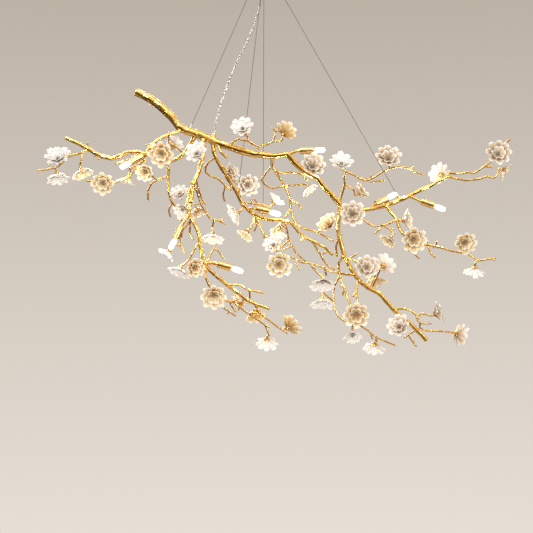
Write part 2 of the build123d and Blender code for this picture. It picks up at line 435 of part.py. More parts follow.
# Blossoms: bough, middle in the picture with its depth, the way it faces, size and porcelain tone
BLOSSOMS = [
    Blossom("left_bough", (58, 158, -72), (-.1, -.7, .65), LARGE, "white"),
    Blossom("left_bough", (57.3, 176.5, -50), (.25, -.35, -.9), MEDIUM, "white"),
    Blossom("left_bough", (81.7, 171.5, -50), (.35, -.25, -.9), MEDIUM, "champagne"),
    Blossom("left_bough", (103, 183.5, -108), (-.1, -.97, -.2), MEDIUM, "champagne"),
    Blossom("left_bough", (127, 180, -36), (-.3, -.1, -.9), SMALL, "champagne"),
    Blossom("left_bough", (145.5, 172, -92), (-.3, -.85, -.4), SMALL, "champagne"),
    Blossom("left_bough", (161.3, 153.6, -74), (-.1, -.95, -.25), LARGE, "champagne"),
    Blossom("left_bough", (174, 145, 20), (.3, .6, .6), SMALL, "white"),
    Blossom("drooping_left_bough", (196.5, 153, -78), (-.25, -.85, .45), MEDIUM, "white"),
    Blossom("middle_bough", (231, 172.3, -30), (.8, -.45, .4), SMALL, "blush"),
    Blossom("middle_bough", (247.8, 185.1, -44), (.3, -.9, -.1), MEDIUM, "blush"),
    Blossom("upper_twig", (242.5, 128, -48), (-.2, -.85, .5), MEDIUM, "white"),
    Blossom("back_left_bough", (179.7, 193.5, 24), (-.2, -.75, .6), SMALL, "white"),
    Blossom("back_left_bough", (182.5, 210, 32), (-.3, -.7, -.6), SMALL, "white"),
    Blossom("upper_twig", (285, 132, -24), (.4, .6, .65), MEDIUM, "champagne"),
    Blossom("trunk", (312.8, 165.6, -78), (.2, -.9, .35), LARGE, "blush"),
    Blossom("back_centre_bough", (309, 188.6, 30), (.55, -.25, -.8), SMALL, "white"),
    Blossom("upper_right_bough", (341.5, 163.2, -56), (0, -.75, .65), MEDIUM, "white"),
    Blossom("upper_right_bough", (360.6, 192, -14), (.75, -.4, .5), SMALL, "champagne"),
    Blossom("lower_right_bough", (352.4, 213.9, -88), (.05, -1, 0), LARGE, "blush"),
    Blossom("middle_bough", (275, 201, 14), (.55, .2, .75), SMALL, "white"),
    Blossom("middle_bough", (236, 213, 4), (-.8, -.35, -.45), MEDIUM, "white"),
    Blossom("upper_right_bough", (388.4, 158, -70), (0, -.85, .5), LARGE, "blush"),
    Blossom("right_bough", (440.5, 174, 66), (-.2, .9, .4), MEDIUM, "white"),
    Blossom("lower_right_bough", (405, 219.7, -22), (.9, -.3, .1), MEDIUM, "blush"),
    Blossom("lower_right_bough", (389, 240, -52), (-.6, -.3, -.7), SMALL, "champagne"),
    Blossom("lower_right_bough", (413.8, 239.5, -96), (.05, -.95, -.2), LARGE, "champagne"),
    Blossom("lower_right_bough", (465.3, 242.4, -94), (.15, -.9, -.3), MEDIUM, "champagne"),
    Blossom("right_bough", (498.2, 153.5, 36), (.05, -.95, .25), LARGE, "blush"),
    Blossom("right_bough", (505, 170.5, 54), (.8, -.2, -.5), SMALL, "champagne"),
    Blossom("drooping_left_bough", (197.5, 211, -12), (.3, .5, -.75), SMALL, "blush"),
    Blossom("drooping_left_bough", (212.2, 236, -50), (0, -.3, -.95), LARGE, "white"),
    Blossom("drooping_left_bough", (167.5, 253, -44), (-.6, -.1, -.75), SMALL, "white"),
    Blossom("drooping_left_bough", (180, 270, -110), (-.35, -.35, -.87), MEDIUM, "white"),
    Blossom("drooping_left_bough", (195, 267.5, -134), (.4, -.85, -.2), SMALL, "champagne"),
    Blossom("lower_left_twig", (213.7, 295.5, -162), (0, -.9, -.4), LARGE, "champagne"),
    Blossom("drooping_left_bough", (240.5, 302, -84), (.2, .5, .8), SMALL, "white"),
    Blossom("drooping_left_bough", (255, 314.5, -90), (.2, .7, -.7), SMALL, "champagne"),
    Blossom("middle_bough", (246, 233.6, 4), (-.5, -.35, -.8), SMALL, "champagne"),
    Blossom("middle_bough", (279, 231, 62), (-.3, .5, -.8), SMALL, "white"),
    Blossom("middle_bough", (273, 245, -40), (-.3, -.8, .5), SMALL, "white"),
    Blossom("long_low_twig", (278.8, 264.5, -152), (.1, -.95, -.25), LARGE, "champagne"),
    Blossom("back_centre_bough", (328.5, 224, 36), (-.55, -.65, .5), MEDIUM, "champagne"),
    Blossom("long_low_twig", (322.8, 282.5, -134), (0, -.5, -.87), LARGE, "white"),
    Blossom("low_centre_twig", (322.8, 301, -62), (0, -.4, -.9), LARGE, "white"),
    Blossom("right_drooping_bough", (356, 314.5, -124), (0, -.97, -.15), LARGE, "champagne"),
    Blossom("low_centre_twig", (352.5, 336, -88), (.1, -.6, -.8), SMALL, "white"),
    Blossom("right_drooping_bough", (366.8, 267, -112), (.1, -.95, .2), MEDIUM, "blush"),
    Blossom("right_drooping_bough", (384.5, 265.5, -52), (.5, .7, .4), MEDIUM, "white"),
    Blossom("right_drooping_bough", (376, 280, -22), (.2, .3, -.9), MEDIUM, "champagne"),
    Blossom("drooping_left_bough", (290, 327, -98), (.6, .5, .5), MEDIUM, "champagne"),
    Blossom("lower_left_twig", (267, 341, -138), (0, .55, -.8), MEDIUM, "white"),
    Blossom("low_centre_twig", (374.5, 346, -76), (0, .5, -.85), MEDIUM, "white"),
    Blossom("right_drooping_bough", (398.8, 326.2, -136), (-.35, -.85, .35), MEDIUM, "blush"),
    Blossom("right_tip_twig", (437, 313.5, -76), (.8, -.35, .35), MEDIUM, "blush"),
    Blossom("right_tip_twig", (458, 334, -74), (.75, .35, -.2), MEDIUM, "blush"),
    Blossom("lower_right_bough", (474.5, 269.4, -56), (0, .35, -.95), MEDIUM, "white"),
]

TONES = ("white", "champagne", "blush")
# Castings that carry leads to lamps, besides the trunk
WIRED = ("left_bough", "middle_bough", "right_bough", "drooping_left_bough")

# Cables: the bough each one holds, where on it, and the angle of its gripper round the hub
CABLES = [
    ("trunk", (189, 131), 180),
    ("middle_bough", (238, 195), 270),
    ("middle_bough", (263, 218.5), 90),
    ("right_bough", (400, 200), 0),
]

# The power cord's bends, column, row and depth, between the hub's gland and the trunk's
CORD_BENDS = [
    (263.4, -12, 2), (259.6, 7, 5), (254.6, 24, 6), (247.5, 42, 4), (238.8, 58.5, 1), (231, 75, -2),
    (224.8, 92, -5), (219.6, 108, -6), (215.4, 124.5, -7),
]
CORD_LANDING = (213.5, 140.5)

HUB_TOP = -CANOPY_HEIGHT
HUB_FOOT = HUB_TOP - HUB_HEIGHT
GRIPPER_FOOT = HUB_FOOT - GRIPPER_DROP
PLUNGER_FOOT = GRIPPER_FOOT - PLUNGER_DROP
CABLE_BEND = PLUNGER_FOOT + CABLE_MOUTH_DEPTH / 2
GLAND_FOOT = HUB_FOOT - HUB_GLAND_DROP


def place(column, row, depth):
    """Point in space behind a picture spot, at a depth from the canopy's plane."""
    scale = PIXEL * (1 + depth / VIEW_DISTANCE)
    across = (EYE_COLUMN - CANOPY_COLUMN) * PIXEL + (column - EYE_COLUMN) * scale
    return Vector(across, depth, (EYE_ROW - row) * scale - EYE_DROP)


def seen(point):
    """Picture spot of a point in space."""
    scale = PIXEL * (1 + point.Y / VIEW_DISTANCE)
    column = EYE_COLUMN + (point.X - (EYE_COLUMN - CANOPY_COLUMN) * PIXEL) / scale
    return column, EYE_ROW - (point.Z + EYE_DROP) / scale


def spread(values, share):
    """Value part of the way along evenly spaced values."""
    step = share * (len(values) - 1)
    low = min(int(step), len(values) - 2)
    return values[low] + (values[low + 1] - values[low]) * (step - low)


def nearest(limbs, target, view):
    """Knot on the limbs nearest to a target, both seen through view, with the limb's direction there."""
    best = None
    for limb in limbs:
        for first, second in zip(limb, limb[1:]):
            start = view(first.place)
            step = [b - a for a, b in zip(start, view(second.place))]
            want = [b - a for a, b in zip(start, target)]
            share = sum(a * b for a, b in zip(want, step)) / sum(a * a for a in step)
            share = min(max(share, 0), 1)
            gap = sum((a - share * b) ** 2 for a, b in zip(want, step))
            if best is None or gap < best[0]:
                run = second.place - first.place
                radius = first.radius + (second.radius - first.radius) * share
                best = (gap, Knot(first.place + run * share, radius), run.normalized())
    return best[1], best[2]


def spaced(points, radii):
    """Knots at the points, with the radii spread along the line by length."""
    along = [0]
    for first, second in zip(points, points[1:]):
        along.append(along[-1] + (second - first).length)
    return [Knot(point, spread(radii, at / along[-1])) for point, at in zip(points, along)]


def find_graft(parent_limbs, limb):
    """Where a bough's collar stands on its parent, its direction and how far its flat face stands out."""
    root, line = nearest(parent_limbs, limb.route[0][:2], seen)
    axis = (place(*limb.route[1]) - root.place).normalized()
    reach = clear_of_bark(root.radius, line, axis, limb.radii[0]) + COLLAR_STAND
    return Graft(root.place, axis, reach, limb.radii[0])


def clear_of_bark(bark, line, axis, radius):
    """Length along an axis, from the middle of the wood, until a bar is all outside the bark."""
    lean = abs(axis.dot(line))
    across = max(sqrt(1 - lean * lean), 0.45)
    return (bark + radius * lean) / across


def lamp_axis(lamp):
    return (place(*lamp.front) - place(*lamp.back)).normalized()


def lamp_stem(lamp, grown):
    """Knots of the stem that carries a lamp, ending square to the lamp's axis."""
    root = nearest(grown, lamp.stem[0], seen)[0].place
    back = place(*lamp.back)
    turn = back - lamp_axis(lamp) * LAMP_STEM_STRAIGHT
    return [Knot(root, LAMP_STEM_RADIUS), Knot(turn, LAMP_STEM_RADIUS), Knot(back, LAMP_STEM_RADIUS + 1)]


def facing(blossom):
    return Vector(*blossom.facing).normalized()


def seat(blossom):
    """Foot of a blossom, where its stem ends."""
    return place(*blossom.spot) - facing(blossom) * BLOSSOM_MIDDLE


def pedicel(blossom, grown):
    """Knots of the short stem from the nearest wood to a blossom's foot."""
    foot = seat(blossom)
    root = nearest(grown, tuple(foot), tuple)[0].place
    gap = (foot - root).length
    bend = foot - facing(blossom) * min(PEDICEL_STRAIGHT, 0.45 * gap)
    return spaced([root, bend, foot], (PEDICEL_ROOT_RADIUS, PEDICEL_TIP_RADIUS))


def lay_out():
    """Grafts, limbs, lamp stems and blossom stems of every bough, parents first."""
    grafts, limbs, stems, stalks = {}, {}, {}, {}
    for name, pieces in BOUGHS.items():
        grown = []
        for limb in pieces:
            points = [place(*spot) for spot in limb.route if len(spot) == 3]
            if len(limb.route[0]) == 2 and grown:
                points.insert(0, nearest(grown, limb.route[0], seen)[0].place)
            elif len(limb.route[0]) == 2:
                grafts[name] = find_graft(limbs[PARENT[name]], limb)
                points.insert(0, grafts[name].root + grafts[name].axis * grafts[name].reach)
            grown.append(spaced(points, limb.radii))
        limbs[name] = grown
    for name in BOUGHS:
        stems[name] = [lamp_stem(lamp, limbs[name][:1]) for lamp in LAMPS if lamp.bough == name]
        stalks[name] = [pedicel(blossom, limbs[name]) for blossom in BLOSSOMS if blossom.bough == name]
    return grafts, limbs, stems, stalks


GRAFTS, LIMBS, STEMS, STALKS = lay_out()


def square_to(axis, origin):
    """Plane at the origin, square to an axis."""
    side = Vector(0, 1, 0) if abs(axis.Y) < 0.8 else Vector(1, 0, 0)
    return Plane(origin=origin, x_dir=(side - axis * side.dot(axis)).normalized(), z_dir=axis)


def rings(knots):
    """Planes and radii of the circles of a limb, turned as little as possible from one to the next."""
    places, radii = [knots[0].place], [knots[0].radius]
    for first, second in zip(knots, knots[1:]):
        if (second.place - first.place).length > WAIST_RUN:
            places.append((first.place + second.place) * 0.5)
            radii.append((first.radius + second.radius) / 2 * WAIST)
        places.append(second.place)
        radii.append(second.radius)
    runs = [(b - a).normalized() for a, b in zip(places, places[1:])]
    lines = [runs[0]] + [(a + b).normalized() for a, b in zip(runs, runs[1:])] + [runs[-1]]
    side = square_to(lines[0], places[0]).x_dir
    circles = []
    for point, line, radius in zip(places, lines, radii):
        side = (side - line * side.dot(line)).normalized()
        circles.append(Face(Wire.make_circle(radius, Plane(origin=point, x_dir=side, z_dir=line))))
    return circles


def grow(knots):
    """Solid of one limb, ruled between its circles."""
    return loft(rings(knots), ruled=True, clean=False, mode=Mode.PRIVATE)


def thin(knots, radius):
    """The same line with one radius, for a bore or a lead."""
    return [Knot(knot.place, radius) for knot in knots]


def rod(start, end, radius):
    """Straight round bar between two points."""
    axis = (end - start).normalized()
    return Solid.make_cylinder(radius, (end - start).length, square_to(axis, start))


def taper(start, end, start_radius, end_radius):
    """Straight round bar that changes radius along its length."""
    axis = (end - start).normalized()
    return Solid.make_cone(start_radius, end_radius, (end - start).length, square_to(axis, start))


def frame_at(point, axis):
    """Place for a turned piece whose own +Z follows the axis."""
    return Location(square_to(axis, point))


def collar(graft):
    """Knuckle on the parent that takes a bough's spigot."""
    face = graft.root + graft.axis * graft.reach
    return taper(graft.root, face, graft.radius * 1.1 + COLLAR_LIP, graft.radius + COLLAR_LIP)


def spigot_ends(graft):
    face = graft.root + graft.axis * graft.reach
    return face - graft.axis * SPIGOT_LENGTH, face


def grub_line(graft):
    """Bottom of a grub screw on the spigot and its outward direction, at the back of the collar."""
    inner, face = spigot_ends(graft)
    out = Vector(0, 1, 0) - graft.axis * graft.axis.Y
    if out.length < 0.3:
        out = Vector(0, 0, 1) - graft.axis * graft.axis.Z
    out = out.normalized()
    middle = (inner + face) * 0.5
    return middle + out * graft.radius * SPIGOT_SHARE, out


def cable_root(cable):
    """Middle of the wood under a cable's anchor."""
    return nearest(LIMBS[cable[0]][:1], cable[1], seen)[0].place


def cable_exit(cable):
    turn = radians(cable[2])
    return Vector(GRIPPER_CIRCLE * cos(turn), GRIPPER_CIRCLE * sin(turn), CABLE_BEND)


def anchor_seat(cable):
    """Flat of the anchor's boss and the way the anchor points."""
    root, line = nearest(LIMBS[cable[0]][:1], cable[1], seen)
    axis = (cable_exit(cable) - root.place).normalized()
    reach = clear_of_bark(root.radius, line, axis, ANCHOR_BOSS_RADIUS) + BOSS_STAND
    return root.place + axis * reach, axis


def cord_landing():
    """Middle of the trunk under the power cord, and the way its gland points."""
    root = nearest(LIMBS["trunk"][:1], CORD_LANDING, seen)[0]
    return root, (place(*CORD_BENDS[-1]) - root.place).normalized()


def cord_seat():
    root, axis = cord_landing()
    return root.place + axis * (root.radius + BOSS_STAND), axis


def stretch(knots, start, end):
    """Part of a line between the points nearest to start and end."""
    marks = [nearest([knots], tuple(point), tuple)[0] for point in (start, end)]
    along = [0]
    for first, second in zip(knots, knots[1:]):
        along.append(along[-1] + (second.place - first.place).length)
    spots = []
    for mark in marks:
        detours = []
        for first, second in zip(knots, knots[1:]):
            there = (first.place - mark.place).length + (mark.place - second.place).length
            detours.append(there - (second.place - first.place).length)
        run = detours.index(min(detours))
        spots.append(along[run] + (mark.place - knots[run].place).length)
    picked = [knot for knot, at in zip(knots, along) if spots[0] + 2 < at < spots[1] - 2]
    return [marks[0]] + picked + [marks[1]]


def wire_runs(name):
    """Lines of the wire bores inside one casting, the main one first."""
    stems = STEMS[name]
    if name == "trunk":
        line = LIMBS[name][0]
        runs = [stretch(line, GRAFTS["left_bough"].root, line[-1].place)]
    else:
        graft = GRAFTS[name]
        line = [Knot(graft.root, graft.radius)] + LIMBS[name][0]
        last = max((stem[0] for stem in stems), key=lambda knot: (knot.place - graft.root).length)
        runs = [stretch(line, graft.root, last.place)]
    for stem, lamp in zip(stems, [lamp for lamp in LAMPS if lamp.bough == name]):
        runs.append(stem + [Knot(place(*lamp.back) + lamp_axis(lamp) * STEM_NIPPLE_LENGTH, 1)])
    return runs


def casting(name):
    """One branch casting with its twigs, collars, bosses, studs, sockets and wire bores."""
    children = [GRAFTS[child] for child, parent in PARENT.items() if parent == name]
    lamps = [lamp for lamp in LAMPS if lamp.bough == name]
    blossoms = [blossom for blossom in BLOSSOMS if blossom.bough == name]
    cables = [cable for cable in CABLES if cable[0] == name]
    with BuildPart() as bough:
        solids = [grow(knots) for knots in LIMBS[name] + STEMS[name] + STALKS[name]]
        solids += [collar(graft) for graft in children]
        for blossom in blossoms:
            solids.append(rod(seat(blossom), seat(blossom) + facing(blossom) * STUD_LENGTH, STUD_RADIUS))
        for lamp in lamps:
            back = place(*lamp.back)
            solids.append(rod(back, back + lamp_axis(lamp) * STEM_NIPPLE_LENGTH, STEM_NIPPLE_RADIUS))
        for cable in cables:
            flat, axis = anchor_seat(cable)
            solids.append(rod(cable_root(cable), flat, ANCHOR_BOSS_RADIUS))
        if name == "trunk":
            solids.append(rod(cord_landing()[0].place, cord_seat()[0], TRUNK_GLAND_RADIUS + 1))
        if name in GRAFTS:
            graft = GRAFTS[name]
            inner, face = spigot_ends(graft)
            solids.append(rod(inner, face + graft.axis, graft.radius * SPIGOT_SHARE))
        add(solids, clean=False)
        cuts = []
        for graft in children:
            inner, face = spigot_ends(graft)
            socket = graft.radius * SPIGOT_SHARE + SPIGOT_CLEARANCE
            cuts.append(rod(inner - graft.axis * 0.5, face + graft.axis, socket))
            foot, out = grub_line(graft)
            cuts.append(rod(foot - out * 0.3, foot + out * 30, GRUB_RADIUS + SPIGOT_CLEARANCE))
        for cable in cables:
            flat, axis = anchor_seat(cable)
            depth = ANCHOR_SHANK + 0.5
            cuts.append(rod(flat - axis * depth, flat + axis, ANCHOR_SHANK_RADIUS + THREAD_CLEARANCE))
        if name == "trunk":
            root, axis = cord_landing()
            cuts.append(rod(root.place, cord_seat()[0] + axis, CORD_HOLE_RADIUS))
            for child in WIRED:
                cuts.append(rod(GRAFTS[child].root, spigot_ends(GRAFTS[child])[0], BOUGH_BORE_RADIUS))
        if name == "trunk" or name in WIRED:
            main, *stems = wire_runs(name)
            radius = TRUNK_BORE_RADIUS if name == "trunk" else BOUGH_BORE_RADIUS
            cuts += [grow(thin(main, radius))] + [grow(thin(stem, LAMP_BORE_RADIUS)) for stem in stems]
        for cut in cuts:
            add(cut, clean=False, mode=Mode.SUBTRACT)
    return bough.part


def wiring():
    """Leads inside the castings: one in the trunk, one up each wired bough and one to each lamp."""
    with BuildPart() as leads:
        solids = [grow(thin(wire_runs("trunk")[0], TRUNK_LEAD_RADIUS))]
        for name in ("trunk",) + WIRED:
            main, *stems = wire_runs(name)
            if name != "trunk":
                solids.append(grow(thin(main, LEAD_RADIUS)))
            for stem, lamp in zip(stems, [lamp for lamp in LAMPS if lamp.bough == name]):
                tail = place(*lamp.back) + lamp_axis(lamp) * HOLDER_BACK
                solids.append(grow(thin(stem[:-1] + [Knot(tail, 1)], LAMP_LEAD_RADIUS)))
        root, axis = cord_landing()
        solids.append(rod(root.place, root.place + axis * TRUNK_BORE_RADIUS, LEAD_RADIUS))
        add(solids, clean=False)
    return leads.part


def turned(profile):
    """Solid of a round piece from the points of its half section, radius then height."""
    with BuildPart() as piece:
        with BuildSketch(Plane.XZ):
            with BuildLine():
                Polyline(*profile, close=True)
            make_face()
        revolve(axis=Axis.Z)
    return piece.part


def spread_out(template, locations, label):
    """Copies of one piece at several places, as one node of separate solids."""
    return Compound(label=label, children=[template.moved(location) for location in locations])


def lamp_places():
    return [frame_at(place(*lamp.back), lamp_axis(lamp)) for lamp in LAMPS]


def lamp_sleeve():
    bore = SLEEVE_RADIUS - SLEEVE_WALL
    hole = STEM_NIPPLE_RADIUS + THREAD_CLEARANCE
    return turned([
        (hole, 0), (SLEEVE_RADIUS, 0), (SLEEVE_RADIUS, SLEEVE_LENGTH), (bore, SLEEVE_LENGTH),
        (bore, SLEEVE_PLATE),
        (hole, SLEEVE_PLATE)])


def stem_nut():
    with BuildPart() as nut:
        with BuildSketch(Plane.XY.offset(SLEEVE_PLATE)):
            RegularPolygon(STEM_NUT_RADIUS, 6)
            Circle(STEM_NIPPLE_RADIUS + THREAD_CLEARANCE, mode=Mode.SUBTRACT)
        extrude(amount=STEM_NUT_HEIGHT)
    return nut.part


def lampholder():
    with BuildPart() as holder:
        with BuildSketch(Plane.XY.offset(HOLDER_BACK)):
            Circle(SLEEVE_RADIUS - SLEEVE_WALL - HOLDER_CLEARANCE)
        extrude(amount=SLEEVE_LENGTH - HOLDER_BACK)
        with BuildSketch(Plane.XY.offset(SLEEVE_LENGTH)):
            with GridLocations(PIN_SPACING, 0, 2, 1):
                Circle(PIN_HOLE_RADIUS)
        extrude(amount=-PIN_HOLE_DEPTH, mode=Mode.SUBTRACT)
    return holder.part


def bulb():
    """Base with its two pins, and the frosted envelope on it."""
    with BuildPart() as base:
        with BuildSketch(Plane.XY.offset(SLEEVE_LENGTH)):
            Circle(BULB_BASE_RADIUS)
        extrude(amount=BULB_BASE_HEIGHT)
        with BuildSketch(Plane.XY.offset(SLEEVE_LENGTH)):
            with GridLocations(PIN_SPACING, 0, 2, 1):
                Circle(PIN_RADIUS)
        extrude(amount=-PIN_LENGTH)
    foot = SLEEVE_LENGTH + BULB_BASE_HEIGHT
    with BuildPart() as envelope:
        with BuildSketch(Plane.XY.offset(foot)):
            Circle(BULB_RADIUS)
        extrude(amount=BULB_HEIGHT)
        fillet(envelope.edges().group_by(Axis.Z)[-1], BULB_RADIUS * 0.8)
    return base.part, envelope.part


def calyx():
    return turned([
        (STUD_HOLE_RADIUS, 0), (CALYX_FOOT_RADIUS, 0), (CALYX_TOP_RADIUS, CALYX_HEIGHT),
        (STUD_HOLE_RADIUS, CALYX_HEIGHT)])


def whorl(radius, foot, flat, rise, count):
    """Ring of petals: a dished shell with a flat foot, cut to a rounded outline of overlapping petals."""
    rim = foot + radius * rise
    middle = (flat + radius) / 2
    sag = foot + (rim - foot) * 0.36
    petal_middle = radius * 0.62
    petal_half = petal_middle * tan(radians(180 / count)) * PETAL_OVERLAP
    with BuildPart() as petals:
        with BuildSketch(Plane.XZ):
            with BuildLine():
                Line((STUD_HOLE_RADIUS, foot), (flat, foot))
                ThreePointArc((flat, foot), (middle, sag), (radius, rim))
                Line((radius, rim), (radius - 0.6, rim + PETAL_THICKNESS))
                ThreePointArc(
                    (radius - 0.6, rim + PETAL_THICKNESS), (middle - 0.4, sag + PETAL_THICKNESS),
                    (flat - 0.5, foot + PETAL_THICKNESS))
                Line((flat - 0.5, foot + PETAL_THICKNESS), (STUD_HOLE_RADIUS, foot + PETAL_THICKNESS))
                Line((STUD_HOLE_RADIUS, foot + PETAL_THICKNESS), (STUD_HOLE_RADIUS, foot))
            make_face()
        revolve(axis=Axis.Z)
        with BuildSketch(Plane.XY):
            Circle(petal_middle)
            with PolarLocations(petal_middle, count):
                Ellipse(radius - petal_middle, petal_half)
        extrude(amount=rim + 5, mode=Mode.INTERSECT)
    return petals.part


def bead():
    foot = CALYX_HEIGHT + 2 * PETAL_THICKNESS
    with BuildPart() as dome:
        with BuildSketch(Plane.XY.offset(foot)):
            Circle(BEAD_RADIUS)
        extrude(amount=BEAD_HEIGHT)
        fillet(dome.edges().group_by(Axis.Z)[-1], BEAD_RADIUS * 0.8)
        with BuildSketch(Plane.XY.offset(foot)):
            Circle(STUD_HOLE_RADIUS)
        extrude(amount=BEAD_HOLE_DEPTH, mode=Mode.SUBTRACT)
    return dome.part


def anchor():
    """Turned stud that holds a cable's end: threaded shank below, cable pocket above."""
    with BuildPart() as stud:
        with BuildSketch(Plane.XZ):
            with BuildLine():
                Polyline(
                    (0, -ANCHOR_SHANK), (ANCHOR_SHANK_RADIUS, -ANCHOR_SHANK), (ANCHOR_SHANK_RADIUS, 0),
                    (ANCHOR_RADIUS, 0), (ANCHOR_RADIUS, ANCHOR_HEIGHT * 0.6),
                    (ANCHOR_TIP_RADIUS, ANCHOR_HEIGHT),
                    (CABLE_HOLE_RADIUS, ANCHOR_HEIGHT), (CABLE_HOLE_RADIUS, ANCHOR_HEIGHT - ANCHOR_POCKET),
                    (0, ANCHOR_HEIGHT - ANCHOR_POCKET), close=True)
            make_face()
        revolve(axis=Axis.Z)
    return stud.part


def suspension_cable(cable):
    """Straight steel cable from inside the hub to its anchor, with one bend at the plunger's mouth."""
    flat, axis = anchor_seat(cable)
    bend = cable_exit(cable)
    foot = flat + axis * (ANCHOR_HEIGHT - ANCHOR_POCKET)
    top = Vector(bend.X, bend.Y, CABLE_TOP)
    with BuildPart() as wire:
        add(loft(plain_rings([top, bend, foot], CABLE_RADIUS), ruled=True, clean=False, mode=Mode.PRIVATE))
    return wire.part


def plain_rings(points, radius):
    """Equal circles at the ends and the bends of a line."""
    runs = [(b - a).normalized() for a, b in zip(points, points[1:])]
    lines = [runs[0]] + [(a + b).normalized() for a, b in zip(runs, runs[1:])] + [runs[-1]]
    side = square_to(lines[0], points[0]).x_dir
    circles = []
    for point, line in zip(points, lines):
        side = (side - line * side.dot(line)).normalized()
        circles.append(Face(Wire.make_circle(radius, Plane(origin=point, x_dir=side, z_dir=line))))
    return circles


def bend_radii(points):
    """Fillet radius at each bend: 0.45 of the shorter run over the tangent of half the turn."""
    radii = []
    for first, middle, last in zip(points, points[1:], points[2:]):
        runs = (middle - first), (last - middle)
        turn = radians(runs[0].get_angle(runs[1]))
        radii.append(0.45 * min(run.length for run in runs) / tan(turn / 2))
    return radii


def cord_points():
    """Bends of the power cord from the supply lead's end to the trunk's bore."""
    root, axis = cord_landing()
    start = [Vector(0, 0, CORD_TOP), Vector(0, 0, GLAND_FOOT - 20)]
    return start + [place(*spot) for spot in CORD_BENDS] + [root.place + axis * TRUNK_BORE_RADIUS]


def tube_along(points, radius):
    """Round cord along straight runs joined by tangent arcs."""
    radii = bend_radii(points)
    print("bend radii", [round(value) for value in radii])
    with BuildPart() as tube:
        with BuildLine():
            route = FilletPolyline(*points, radius=radii)
        start = square_to((points[1] - points[0]).normalized(), points[0])
        with BuildSketch(start):
            Circle(radius)
        sweep(path=route)
    length = route.length
    share = tube.part.volume / (length * pi * radius**2)
    print("cord length", round(length), "volume to section times length", round(share, 3))
    return tube.part


def supply_lead():
    """Lead from the terminal block, through the nipple's window, down to the power cord's end."""
    level = -BRACKET_THICKNESS - TERMINAL_HEIGHT * 0.75
    points = [Vector(TERMINAL_START, 0, level), Vector(0, 0, level), Vector(0, 0, CORD_TOP)]
    with BuildPart() as lead:
        with BuildLine():
            route = FilletPolyline(*points, radius=8)
        with BuildSketch(square_to(Vector(-1, 0, 0), points[0])):
            Circle(LEAD_RADIUS)
        sweep(path=route)
    return lead.part


def canopy_cover():
    with BuildPart() as cover:
        with BuildSketch():
            Circle(CANOPY_RADIUS)
        extrude(amount=-CANOPY_HEIGHT)
        fillet(cover.edges().group_by(Axis.Z)[0], CANOPY_EDGE_ROUND)
        with BuildSketch():
            Circle(CANOPY_RADIUS - CANOPY_WALL)
        extrude(amount=-(CANOPY_HEIGHT - CANOPY_EDGE_ROUND), mode=Mode.SUBTRACT)
        with BuildSketch(Plane.XY.offset(-(CANOPY_HEIGHT - CANOPY_EDGE_ROUND))):
            Circle(CANOPY_RADIUS - CANOPY_EDGE_ROUND)
        extrude(amount=-(CANOPY_EDGE_ROUND - CANOPY_WALL), mode=Mode.SUBTRACT)
        with BuildSketch():
            Circle(NIPPLE_RADIUS + 0.3)
        extrude(amount=-CANOPY_HEIGHT, mode=Mode.SUBTRACT)
    return cover.part


def ceiling_bracket():
    with BuildPart() as bracket:
        with BuildSketch():
            Rectangle(BRACKET_LENGTH, BRACKET_WIDTH)
            with GridLocations(FIXING_SPACING, 0, 2, 1):
                Circle(FIXING_HOLE_RADIUS, mode=Mode.SUBTRACT)
            Circle(NIPPLE_RADIUS + THREAD_CLEARANCE, mode=Mode.SUBTRACT)
            with Locations((EARTH_SCREW_PLACE, 0)):
                Circle(EARTH_SCREW_RADIUS + THREAD_CLEARANCE, mode=Mode.SUBTRACT)
        extrude(amount=-BRACKET_THICKNESS)
        fillet(bracket.edges().filter_by(Axis.Z).group_by(Axis.X)[0], 5)
        fillet(bracket.edges().filter_by(Axis.Z).group_by(Axis.X)[-1], 5)
    return bracket.part


def hub_nipple():
    with BuildPart() as nipple:
        with BuildSketch(Plane.XY.offset(-NIPPLE_INSET)):
            Circle(NIPPLE_RADIUS)
            Circle(NIPPLE_BORE_RADIUS, mode=Mode.SUBTRACT)
        extrude(amount=-(CANOPY_HEIGHT + NIPPLE_IN_HUB - NIPPLE_INSET))
        height = NIPPLE_WINDOW_TOP - NIPPLE_WINDOW_BOTTOM
        with Locations((NIPPLE_RADIUS / 2, 0, NIPPLE_WINDOW_BOTTOM + height / 2)):
            Box(NIPPLE_RADIUS * 2, NIPPLE_WINDOW_WIDTH, height, mode=Mode.SUBTRACT)
    return nipple.part


def hub_locknut():
    with BuildPart() as nut:
        with BuildSketch(Plane.XY.offset(-BRACKET_THICKNESS)):
            RegularPolygon(LOCKNUT_RADIUS, 6)
            Circle(NIPPLE_RADIUS + THREAD_CLEARANCE, mode=Mode.SUBTRACT)
        extrude(amount=-LOCKNUT_HEIGHT)
    return nut.part


def terminal_block():
    with BuildPart() as block:
        with BuildSketch(Plane.XY.offset(-BRACKET_THICKNESS)):
            with Locations((TERMINAL_START + TERMINAL_LENGTH / 2, 0)):
                RectangleRounded(TERMINAL_LENGTH, TERMINAL_WIDTH, 2)
        extrude(amount=-TERMINAL_HEIGHT)
        with BuildSketch(Plane.XY.offset(-BRACKET_THICKNESS - TERMINAL_HEIGHT)):
            with Locations((TERMINAL_START + TERMINAL_LENGTH / 2, 0)):
                with GridLocations(0, 5, 1, 3):
                    Circle(1.6)
        extrude(amount=4, mode=Mode.SUBTRACT)
    return block.part


def earth_screw():
    head = EARTH_SCREW_RADIUS * 2
    return turned([
        (0, -NIPPLE_INSET), (EARTH_SCREW_RADIUS, -NIPPLE_INSET), (EARTH_SCREW_RADIUS, -BRACKET_THICKNESS),
        (head, -BRACKET_THICKNESS), (head, -BRACKET_THICKNESS - 2.6), (0, -BRACKET_THICKNESS - 2.6)],
    ).moved(Location((EARTH_SCREW_PLACE, 0, 0)))


